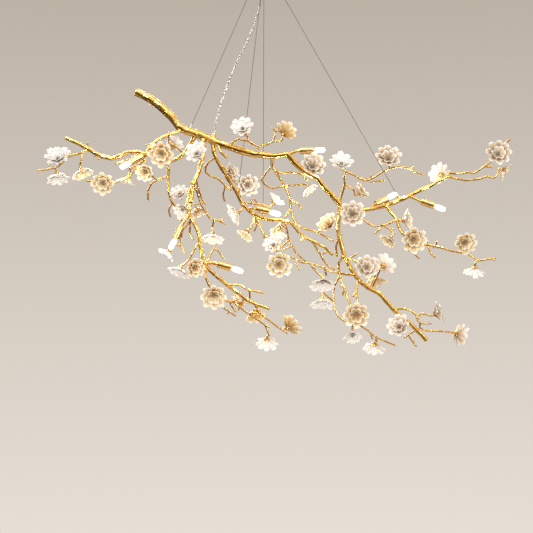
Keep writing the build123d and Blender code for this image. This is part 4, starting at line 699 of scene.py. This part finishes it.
def add_bud(weld, spot, way, length, radius, lean):
    """Short blunt twig stub that leans a little to one side."""
    place = Matrix(upright(spot - way * BUD_SINK, way).tolist())
    rows = [(radius * r, length * h) for r, h in BUD_ROWS]
    points, faces = lathe([(0, 0.0)] + rows + [(0, length * BUD_TOP)], BUD_SIDES)
    tilt = Vector((math.cos(lean), math.sin(lean), 0)) * BUD_LEAN
    made = [weld.verts.new(place @ (Vector(p) + tilt * p[2])) for p in points]
    for face in faces:
        weld.faces.new([made[i] for i in face])


def skin_over(node, buds):
    """One closed surface, with soft forks, over a casting and its buds."""
    weld = welded(node)
    for bud in buds:
        add_bud(weld, *bud)
    rough = bpy.data.meshes.new("rough")
    weld.to_mesh(rough)
    weld.free()
    carrier = linked("rough", rough)
    skin = carrier.modifiers.new("skin", "REMESH")
    skin.mode = "VOXEL"
    skin.voxel_size = BARK_VOXEL
    soft = carrier.modifiers.new("soft", "SMOOTH")
    soft.factor = BARK_SOFTNESS
    soft.iterations = BARK_SMOOTHING
    bpy.context.view_layer.update()
    final = carrier.evaluated_get(bpy.context.evaluated_depsgraph_get())
    mesh = bpy.data.meshes.new_from_object(final)
    bpy.data.objects.remove(carrier)
    bpy.data.meshes.remove(rough)
    return mesh


def limbs_at(points, ways):
    """Limb at each point: its direction, to which the normals near it lean least, and its half
    thickness."""
    skin = KDTree(len(points))
    for index, point in enumerate(points):
        skin.insert(point, index)
    skin.balance()
    picked = range(0, len(points), LIMB_STRIDE)
    knots = KDTree(len(picked))
    found = []
    for index in picked:
        near = [hit[1] for hit in skin.find_range(points[index], LIMB_REACH)]
        way = np.linalg.eigh(ways[near].T @ ways[near])[1][:, 0]
        across = points[near] - points[near].mean(0)
        across = across - np.outer(across @ way, way)
        found.append((Vector(way), math.sqrt((across ** 2).sum(1).mean())))
        knots.insert(points[index], len(found) - 1)
    knots.balance()
    return [found[knots.find(point)[1]] for point in points]


def bark_lift(point, way, half):
    """Height of the skin: soft lumps, knots, and grooves along the limb, calmer on thin twigs."""
    thick = min(1.0, max(0.0, (half - THIN_HALF) / (THICK_HALF - THIN_HALF)))
    lump = noise.noise(point * LUMP_SCALE)
    groove = sum(
        noise.noise((point + way * (GRAIN_STEP * n)) * RIDGE_SCALE)
        for n in GRAIN_STEPS) / len(GRAIN_STEPS)
    knot = max(0.0, noise.noise(point * KNOT_SCALE + KNOT_SHIFT) - KNOT_LEAST)
    relief = BARK_LUMP * lump + BARK_RIDGE * groove + BARK_KNOT * knot
    calm = CALM_LEAST + (1 - CALM_LEAST) * thick
    return BARK_FILL + TWIG_FILL * (1 - thick) + relief * calm


def bark(node, buds):
    """The casting's skin, crooked a little and raised by its relief."""
    mesh = skin_over(node, buds)
    mesh.name = f"bark_{node}"
    points = np.zeros(len(mesh.vertices) * 3, np.float32)
    ways = np.zeros(len(mesh.vertices) * 3, np.float32)
    mesh.vertices.foreach_get("co", points)
    mesh.vertex_normals.foreach_get("vector", ways)
    points = points.reshape(-1, 3)
    ways = ways.reshape(-1, 3)
    lift = np.array([
        bark_lift(Vector(p), *limb) for p, limb in zip(points, limbs_at(points, ways))])
    crook = np.array([noise.noise_vector(Vector(p) * CROOK_SCALE) for p in points]) * BARK_CROOK
    points = points + ways * lift[:, None] + crook
    mesh.vertices.foreach_set("co", points.astype(np.float32).ravel())
    smooth(mesh)
    mesh.update()
    return dress(f"bark_{node}", mesh, GOLD_BARK, "pendant", [node])


def clothe_castings():
    """All buds are found before the first skin is there, so that no skin is in their way."""
    rng = random.Random(BUD_SEED)
    buds = {casting: find_buds(casting, rng) for casting in CASTINGS}
    for casting in CASTINGS:
        bark(casting, buds[casting])


# Blossoms, in millimetres in their own frames

# Whorls: petals, height of the foot, radius of the flat middle, and the petals' rise and half
# width as shares of the radius
Ring = namedtuple("Ring", "count foot flat rise half")
RINGS = {
    "outer": Ring(8, 6.0, 7.0, 0.54, 0.275),
    "inner": Ring(6, 7.6, 5.0, 0.79, 0.38),
}
BLOSSOM_SEED = 11
HEART_HEIGHT = 0.012          # metres over the seat
TIP_SHARE = 0.985             # points beyond this share of the radius are tips

# Random draws, as (least, most)
WHORL_PALE = (-0.08, 0.10)
PETAL_SIZE = (0.94, 1.05)
PETAL_RISE = (0.80, 1.10)
PETAL_HALF = (0.92, 1.08)
PETAL_CUP = (0.8, 1.2)
PETAL_TILT = (-1.6, 2.4)
PETAL_CURL = (0.02, 0.20)
PETAL_NOTCH = (0.02, 0.085)
PETAL_DENT = (-0.3, 0.3)
PETAL_TURN = (-0.07, 0.07)
PETAL_PALE = (-0.09, 0.09)

# Form of a petal, over u from root to rim and v from side to side
PETAL_ROWS = 9
PETAL_COLUMNS = 13
ROW_CROWDING = 0.9
ROOT_RADIUS = 2.2
FOOT_GAP = 0.8
ROOT_WIDTH, ADDED_WIDTH = 0.26, 0.74
WIDTH_FROM, WIDTH_SPAN = 0.03, 0.62       # the stretch of a half wave that the width follows
CORNER_CUT = 0.25
NOTCH_WIDTH = 0.22
RISE_MOST = 1.1
CUP = 0.50
CUP_FROM, CUP_SPAN = 0.10, 0.62
CUP_ROOT, CUP_ADDED = 0.35, 0.65
WAVE_HEIGHT, WAVE_TURN = 0.030, 4.2
RUFFLE_HEIGHT, RUFFLE_TURN = 0.016, 8.5
THICKNESS, ROOT_THICKER, RIM_THICKER = 0.55, 0.35, 0.25
# Painted shade and highlight on a petal: darker at the root and along the groove down its middle,
# pale along the rim
SHADE_ROOT, SHADE_RISE, SHADE_RIM, GROOVE_SHADE = 0.17, 0.40, 0.58, 0.14
GROOVE_SHADE_WIDTH = 0.16
# Painted shade: the underside of each petal is darker
UNDERSIDE_SHADE = 0.9

# Hearts and calyxes, with profiles of (radius, height)
DOME = [(0, 9.0), (4.2, 9.0), (4.6, 10.2), (4.4, 12.2), (3.6, 14.0), (2.2, 15.2), (0, 15.6)]
DOME_SIDES = 18
BALL = [(0, -1), (0.71, -0.71), (1, 0), (0.71, 0.71), (0, 1)]
BALL_SIDES = 8
ANTHERS = 19
ANTHER_SIZE = (0.85, 1.25)
ANTHER_STRAY = (-0.2, 0.2)
GOLDEN_TURN = 2.39996
CROWN_SPREAD = 0.86
CROWN_RADIUS, CROWN_FOOT, CROWN_HEIGHT = 4.5, 10.8, 5.0
CALYX = [
    (0, 0.0), (2.6, 0.0), (3.1, 0.5), (3.6, 2.0), (4.8, 3.8), (6.4, 5.1), (6.9, 5.6),
    (6.6, 5.95), (0, 5.95)]
CALYX_SIDES = 20
SEPALS = 5
SEPAL_ROWS = [                # reach, height, half width
    (4.0, 2.5, 1.9), (6.6, 4.3, 2.9), (9.2, 5.5, 2.4), (11.4, 6.1, 1.1), (12.8, 6.2, 0.15)]
SEPAL_COLUMNS = (-1, 0, 1)
SEPAL_DROP, EDGE_DROP = 0.9, 0.25
SEPAL_THICKNESS = 0.6


class Blossom:
    """Seat, frame, tone and whorls of one blossom, read from the solids."""

    def __init__(self, calyx, bead):
        axis = bead.mean(0) - calyx.mean(0)
        axis /= np.linalg.norm(axis)
        middle = calyx.mean(0)
        seat = middle + axis * ((calyx - middle) @ axis).min()
        self.place = upright(seat, axis)
        self.heart = seat + axis * HEART_HEIGHT
        self.tone = None
        self.whorls = {}

    def local(self, points):
        return (points - self.place[:3, 3]) @ self.place[:3, :3] / MM

    def measure(self, whorl, count):
        """Radius of a whorl and the angle of its first petal."""
        points = self.local(whorl)
        radii = np.hypot(points[:, 0], points[:, 1])
        tips = points[radii > radii.max() * TIP_SHARE]
        turn = np.exp(1j * count * np.arctan2(tips[:, 1], tips[:, 0])).mean()
        return radii.max(), np.angle(turn) / count


def read_blossoms():
    """Blossoms in order of their places. Each whorl goes to the blossom whose heart is nearest."""
    beads = solids("pistil_beads")
    blossoms = []
    for calyx in solids("calyxes"):
        near = min(beads, key=lambda bead: np.linalg.norm(bead.mean(0) - calyx.mean(0)))
        blossoms.append(Blossom(calyx, near))
    for tone in TONES:
        for name, ring in RINGS.items():
            for whorl in solids(f"{tone}_{name}_whorls"):
                own = min(blossoms, key=lambda b: np.linalg.norm(whorl.mean(0) - b.heart))
                own.tone = tone
                own.whorls[name] = own.measure(whorl, ring.count)
    return sorted(blossoms, key=lambda b: tuple(np.round(b.place[:3, 3], 4)))


PETAL_U = (
    np.linspace(0, 1, PETAL_ROWS)[:, None] ** ROW_CROWDING * np.ones((1, PETAL_COLUMNS)))
PETAL_V = np.linspace(-1, 1, PETAL_COLUMNS)[None, :] * np.ones((PETAL_ROWS, 1))
PETAL_FACES = sheet_faces(PETAL_ROWS, PETAL_COLUMNS)


def petal(ring, radius, rise, half, cup, tilt, curl, notch, rng):
    """One spoon-shaped petal along +X as a closed thin sheet, with painted shade from its root and
    a painted highlight along its rim.
    """
    u, v = PETAL_U, PETAL_V
    dent = rng.uniform(*PETAL_DENT)
    wave, ruffle = rng.uniform(0, ABOUT_A_TURN), rng.uniform(0, ABOUT_A_TURN)

    # Plan: narrow root, round corners, and a notch in the rim
    swell = np.sin(np.pi * (WIDTH_FROM + WIDTH_SPAN * u)) ** 1.5
    width = half * (ROOT_WIDTH + ADDED_WIDTH * swell)
    dip = notch * np.exp(-(((v - dent) / NOTCH_WIDTH) ** 2)) * u ** 8
    reach = u * (1 - CORNER_CUT * np.abs(v) ** 2.5 * u ** 2) - dip
    x = ROOT_RADIUS + (radius - ROOT_RADIUS) * reach
    y = v * width

    # Height: flat middle, rise with a curled tip, cupped sides, tilt, wave and ruffle
    out = np.clip((np.hypot(x, y) - ring.flat) / (radius - ring.flat), 0, RISE_MOST)
    z = ring.foot + FOOT_GAP + rise * radius * (out ** 1.4 - curl * out ** 6)
    bowl = cup * half * v ** 2 * np.sin(np.pi * (CUP_FROM + u * CUP_SPAN))
    z += bowl * (CUP_ROOT + CUP_ADDED * u)
    z += tilt * v * u + WAVE_HEIGHT * radius * np.sin(WAVE_TURN * v + wave) * u ** 2
    z += RUFFLE_HEIGHT * radius * np.sin(RUFFLE_TURN * v + ruffle) * u ** 4

    grid = np.stack([x, y, z], axis=2)
    way = np.cross(np.gradient(grid, axis=0), np.gradient(grid, axis=1))
    way /= np.linalg.norm(way, axis=2)[:, :, None]
    rim = np.maximum(u ** 6, np.abs(v) ** 5 * np.clip(u * 2, 0, 1))
    thick = (THICKNESS + ROOT_THICKER * (1 - u) + RIM_THICKER * rim)[:, :, None]
    top = grid + way * thick / 2
    low = grid - way * thick / 2
    points = np.concatenate([top.reshape(-1, 3), low.reshape(-1, 3)]) * MM
    # Painted shade towards the root and along the middle groove, painted highlight along the rim
    groove_shade = GROOVE_SHADE * np.exp(-((v / GROOVE_SHADE_WIDTH) ** 2)) * (1 - u)
    shade = np.clip(SHADE_ROOT + SHADE_RISE * u + SHADE_RIM * rim - groove_shade, 0, 1).ravel()
    # The underside gets a darker painted shade
    return points, np.concatenate([shade, shade * UNDERSIDE_SHADE])


def grow_petals(shape, blossom, name, rng):
    """One whorl. The draws keep their order, because all blossoms share one sequence."""
    ring = RINGS[name]
    radius, first = blossom.whorls[name]
    pale = rng.uniform(*WHORL_PALE)
    for n in range(ring.count):
        size = radius * rng.uniform(*PETAL_SIZE)
        rise = ring.rise * rng.uniform(*PETAL_RISE)
        half = radius * ring.half * rng.uniform(*PETAL_HALF)
        cup = CUP * rng.uniform(*PETAL_CUP)
        tilt = rng.uniform(*PETAL_TILT)
        curl = rng.uniform(*PETAL_CURL)
        notch = rng.uniform(*PETAL_NOTCH)
        points, shades = petal(ring, size, rise, half, cup, tilt, curl, notch, rng)
        angle = first + (n + rng.uniform(*PETAL_TURN)) * 2 * math.pi / ring.count
        shades = np.clip(shades + pale + rng.uniform(*PETAL_PALE), 0, 1)
        shape.add(points, PETAL_FACES, shades, blossom.place @ spun(angle))


def grow_heart(shape, blossom, rng):
    """Glazed dome with a crown of small round anthers."""
    shape.turned(DOME, DOME_SIDES, blossom.place)
    ball, faces = lathe(BALL, BALL_SIDES)
    for n in range(ANTHERS):
        lean = math.acos(1 - CROWN_SPREAD * ((n + 0.5) / ANTHERS))
        turn = n * GOLDEN_TURN + rng.uniform(*ANTHER_STRAY)
        size = rng.uniform(*ANTHER_SIZE)
        spot = np.array([
            CROWN_RADIUS * math.sin(lean) * math.cos(turn),
            CROWN_RADIUS * math.sin(lean) * math.sin(turn),
            CROWN_FOOT + CROWN_HEIGHT * math.cos(lean)])
        shape.add((ball * size + spot) * MM, faces, None, blossom.place)


def sepal():
    """One pointed sepal along +X as a closed thin sheet, its edges a little below its middle."""
    top = [
        (reach, v * half, height - (SEPAL_DROP + EDGE_DROP * abs(v)))
        for reach, height, half in SEPAL_ROWS for v in SEPAL_COLUMNS]
    low = [(x, y, z - SEPAL_THICKNESS) for x, y, z in top]
    return np.array(top + low) * MM, sheet_faces(len(SEPAL_ROWS), len(SEPAL_COLUMNS))


def grow_calyx(shape, blossom, rng):
    """Gold cup with pointed sepals under the petals."""
    shape.turned(CALYX, CALYX_SIDES, blossom.place)
    first = rng.uniform(0, 1)
    points, faces = sepal()
    for n in range(SEPALS):
        turn = spun(first + n * 2 * math.pi / SEPALS)
        shape.add(points, faces, None, blossom.place @ turn)


def bloom():
    rng = random.Random(BLOSSOM_SEED)
    blossoms = read_blossoms()
    whorls = {(tone, name): Shape() for tone in TONES for name in RINGS}
    hearts, cups = Shape(), Shape()
    for blossom in blossoms:
        for name in RINGS:
            grow_petals(whorls[blossom.tone, name], blossom, name, rng)
        grow_heart(hearts, blossom, rng)
        grow_calyx(cups, blossom, rng)
    for (tone, name), shape in whorls.items():
        shape.piece(
            f"{tone}_{name}_petals", PETALS[tone], "pendant", f"{tone}_porcelain",
            [f"{tone}_{name}_whorls"])
    hearts.piece("pistils", PISTIL, "pendant", "pistil_enamel", ["pistil_beads"])
    cups.piece("calyx_cups", GOLD_BARK, "pendant", "gold_bark", ["calyxes"])


# Lamps, with profiles of (radius, height) in millimetres from the tip of the bulb

CAPSULE = [
    (0, -32.0), (6.6, -32.0), (7.6, -31.2), (8.1, -29.0), (8.4, -25.0), (8.4, -13.0),
    (8.2, -9.0), (7.5, -5.6), (6.2, -3.0), (4.3, -1.2), (2.2, -0.3), (0, 0)]
CAPSULE_SIDES = 28
COLLAR = [
    (0, -38.0), (6.9, -38.0), (7.5, -37.4), (7.5, -35.2), (6.9, -34.8), (7.5, -34.4),
    (7.5, -32.4), (7.1, -31.9), (0, -31.9)]
COLLAR_SIDES = 24
PIN = [(0, -49.0), (0.7, -48.9), (1.05, -48.2), (1.05, -37.8), (0, -37.8)]
PIN_SIDES = 14
PIN_SPACING = 9.0
PIN_BELOW = -40.0             # only the pins reach below this height
HOT_HEIGHT, HOT_REACH, HOT_FALL = -15.0, 17.0, 1.6

# Light of a bulb, from a small source before its tip
GLOW_POWER = 0.55             # watts
GLOW_COLOUR = (1.0, 0.80, 0.52)
GLOW_RADIUS = 0.012
GLOW_AHEAD = 0.014


def glass_shade(height):
    """Brightest about the middle of the capsule, and less towards both ends."""
    return 1 - min(1, abs(height - HOT_HEIGHT) / HOT_REACH) ** HOT_FALL


def bulb_end(points, sleeves):
    """Tip of a bulb, and its axis out of the sleeve that is nearest."""
    middle = middle_of(points)
    sleeve = min(sleeves, key=lambda s: np.linalg.norm(middle_of(s) - middle))
    axis = middle - middle_of(sleeve)
    axis /= np.linalg.norm(axis)
    return middle + axis * ((points - middle) @ axis).max(), axis


def pin_side(points, tip, place):
    """From the bulb's axis to one of its pins, across the axis."""
    local = (points - tip) @ place[:3, :3] / MM
    feet = local[local[:, 2] < PIN_BELOW][:, :2]
    spread = np.linalg.svd(feet - feet.mean(0), full_matrices=False)[2][0]
    return spread * PIN_SPACING / 2


def add_glow(number, spot):
    glow = bpy.data.lights.new(f"lamp_glow_{number}", "POINT")
    glow.energy = GLOW_POWER
    glow.color = GLOW_COLOUR
    glow.shadow_soft_size = GLOW_RADIUS
    lamp = linked(f"lamp_glow_{number}", glow)
    lamp.location = spot
    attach(lamp, f"lamp_{number}")


def light_lamps():
    sleeves = solids("lamp_sleeves")
    for number in range(1, LAMP_COUNT + 1):
        node, body = f"bulb_{number}", f"lamp_{number}"
        points = np.array([tuple(v.co) for v in NODES[node].data.vertices])
        tip, axis = bulb_end(points, sleeves)
        place = upright(tip, axis)
        glass, base, pins = Shape(), Shape(), Shape()
        glass.turned(CAPSULE, CAPSULE_SIDES, place, glass_shade)
        base.turned(COLLAR, COLLAR_SIDES, place)
        side = pin_side(points, tip, place)
        rod, faces = lathe(PIN, PIN_SIDES)
        for way in (-1, 1):
            pins.add((rod + (*(side * way), 0)) * MM, faces, None, place)
        glass.piece(f"bulb_glass_{number}", LIT_GLASS, body, "frosted_glass", [node])
        base.piece(f"bulb_base_{number}", CERAMIC, body, "holder_ceramic")
        pins.piece(f"bulb_pins_{number}", NICKEL, body, "nickel")
        add_glow(number, tip + axis * GLOW_AHEAD)


# CAD nodes that keep their own shape get their finish

FINISHES = [
    (GOLD_PLATE, ["lamp_sleeves", "cable_anchors", "trunk_gland", "canopy_cover", "cable_hub"]),
    (STEEL, ["ceiling_bracket", "spigot_grub_screws", "stem_nuts", "hub_nipple", "hub_locknut"]),
    (NICKEL, [
        "cable_grippers", *[f"gripper_plunger_{n}" for n in range(1, GRIPPER_COUNT + 1)]]),
    (BRASS, ["earth_screw"]),
    (LEAD_PLASTIC, ["wiring_harness", "supply_lead"]),
    (WHITE_PLASTIC, ["terminal_block"]),
    (CLEAR, ["hub_gland"]),
    (CERAMIC, ["lampholders"]),
]


def finish_nodes():
    for material, names in FINISHES:
        for name in names:
            NODES[name].data.materials.clear()
            NODES[name].data.materials.append(material)


# Stage, light and camera. Heights in the surround are those of a direction of length 1.

BACK_TINTS = ((0.80, 0.735, 0.67), (0.50, 0.44, 0.375))
BACK_STOPS = (0.0, 1.0)
BACK_HEIGHTS = (-0.21, 0.21)
ROOM_TINTS = ((0.06, 0.044, 0.028), (0.36, 0.33, 0.285), (1.0, 0.93, 0.84))
ROOM_STOPS = (0.0, 0.4, 1.0)
ROOM_HEIGHTS = (-0.2, 0.45)
FILL_COLOUR = (1.0, 0.96, 0.91)
FILL_STRENGTH = 0.36
FLOOR_LEVEL = -2.5
FLOOR_RADIUS = 2.6
FLOOR_SIDES = 64
FLOOR_SOLID = 0.35            # share of the radius within which the floor doesn't thin out

# Softboxes: spot, size, watts and colour
SOFTBOXES = {
    "key_light": ((-1.7, -3.0, 1.0), (0.6, 0.6), 40, (1.0, 0.95, 0.88)),
    "fill_light": ((2.4, -2.8, -0.2), (0.6, 1.3), 24, (1.0, 0.96, 0.92)),
    "under_light": ((-0.4, -4.2, -3.2), (2.0, 1.0), 114, (1.0, 0.95, 0.89)),
    "top_light": ((0.0, -1.3, 1.5), (2.4, 0.35), 26, (1.0, 0.97, 0.93)),
    "rim_light": ((-1.0, 2.8, 0.2), (1.6, 0.8), 56, (1.0, 0.95, 0.88)),
}
NOT_MIRRORED = {"under_light"}


def sky(world, split, heights, places, colours):
    """Background whose colour changes with the height of the direction."""
    span = node_of(world, "ShaderNodeMapRange", From_Min=heights[0], From_Max=heights[1])
    tint = ramp(world, places, colours)
    shown = node_of(world, "ShaderNodeBackground")
    join(world, split, "Z", span, "Value")
    join(world, span, "Result", tint, "Fac")
    join(world, tint, "Color", shown, "Color")
    return shown


def set_world():
    """Warm backdrop that the camera sees, also through glass, a room that is dark below and bright
    above for metal to mirror, and an even fill for all else."""
    world = bpy.data.worlds.new("surround")
    bpy.context.scene.world = world
    world.use_nodes = True
    world.node_tree.nodes.clear()
    where = node_of(world, "ShaderNodeTexCoord")
    split = node_of(world, "ShaderNodeSeparateXYZ")
    join(world, where, "Generated", split, 0)
    seen = sky(world, split, BACK_HEIGHTS, BACK_STOPS, BACK_TINTS)
    mirrored = sky(world, split, ROOM_HEIGHTS, ROOM_STOPS, ROOM_TINTS)
    fill = node_of(
        world, "ShaderNodeBackground", Color=(*FILL_COLOUR, 1), Strength=FILL_STRENGTH)
    rays = node_of(world, "ShaderNodeLightPath")
    through = node_of(world, "ShaderNodeMath", operation="MAXIMUM")
    join(world, rays, "Is Camera Ray", through, 0)
    join(world, rays, "Is Transmission Ray", through, 1)
    unseen = blend(world, rays, "Is Glossy Ray", fill, mirrored)
    whole = blend(world, through, 0, unseen, seen)
    join(world, whole, 0, node_of(world, "ShaderNodeOutputWorld"), "Surface")


def fade_edge(made):
    """The floor thins out towards its edge."""
    where = node_of(made, "ShaderNodeTexCoord")
    far = node_of(made, "ShaderNodeVectorMath", operation="LENGTH")
    share = node_of(
        made, "ShaderNodeMapRange", interpolation_type="SMOOTHSTEP",
        From_Min=FLOOR_RADIUS * FLOOR_SOLID, From_Max=FLOOR_RADIUS)
    join(made, where, "Object", far, 0)
    join(made, far, "Value", share, "Value")
    clear = node_of(made, "ShaderNodeBsdfTransparent")
    whole = blend(made, share, "Result", surface_of(made), clear)
    join(made, whole, 0, made.node_tree.nodes["Material Output"], "Surface")


def lay_floor():
    points, faces = lathe([(0, 0.0), (FLOOR_RADIUS, 0.0)], FLOOR_SIDES)
    mesh = bpy.data.meshes.new("floor")
    mesh.from_pydata([tuple(p) for p in points], [], faces)
    mesh.update()
    floor = linked("floor", mesh)
    floor.location = (0, 0, FLOOR_LEVEL)
    plaster = speckled(
        "floor_plaster", dark=(0.74, 0.69, 0.63), light=(0.79, 0.74, 0.68), scale=6.0,
        rough=(0.6, 0.8))
    fade_edge(plaster)
    mesh.materials.append(plaster)


def set_lights():
    """Softboxes that face the light and that the camera doesn't see."""
    for name, (spot, size, watts, colour) in SOFTBOXES.items():
        lamp = bpy.data.lights.new(name, "AREA")
        lamp.shape = "RECTANGLE"
        lamp.size, lamp.size_y = size
        lamp.energy = watts
        lamp.color = colour
        box = linked(name, lamp)
        box.location = spot
        box.rotation_mode = "QUATERNION"
        box.rotation_quaternion = (OBJECT_MIDDLE - Vector(spot)).to_track_quat("-Z", "Y")
        box.visible_camera = False
        box.visible_glossy = name not in NOT_MIRRORED


def set_camera():
    data = bpy.data.cameras.new("camera")
    data.sensor_width = SENSOR
    data.lens = SENSOR * VIEW_DISTANCE / (PICTURE_WIDTH * PIXEL)
    data.clip_end = VIEW_END
    camera = linked("camera", data)
    camera.location = EYE
    camera.rotation_euler = (math.pi / 2, 0, 0)
    bpy.context.scene.camera = camera


set_camera()
hang_cables()
hang_cord()
clothe_castings()
bloom()
light_lamps()
finish_nodes()
set_world()
lay_floor()
set_lights()
bpy.context.scene.view_settings.view_transform = "Standard"
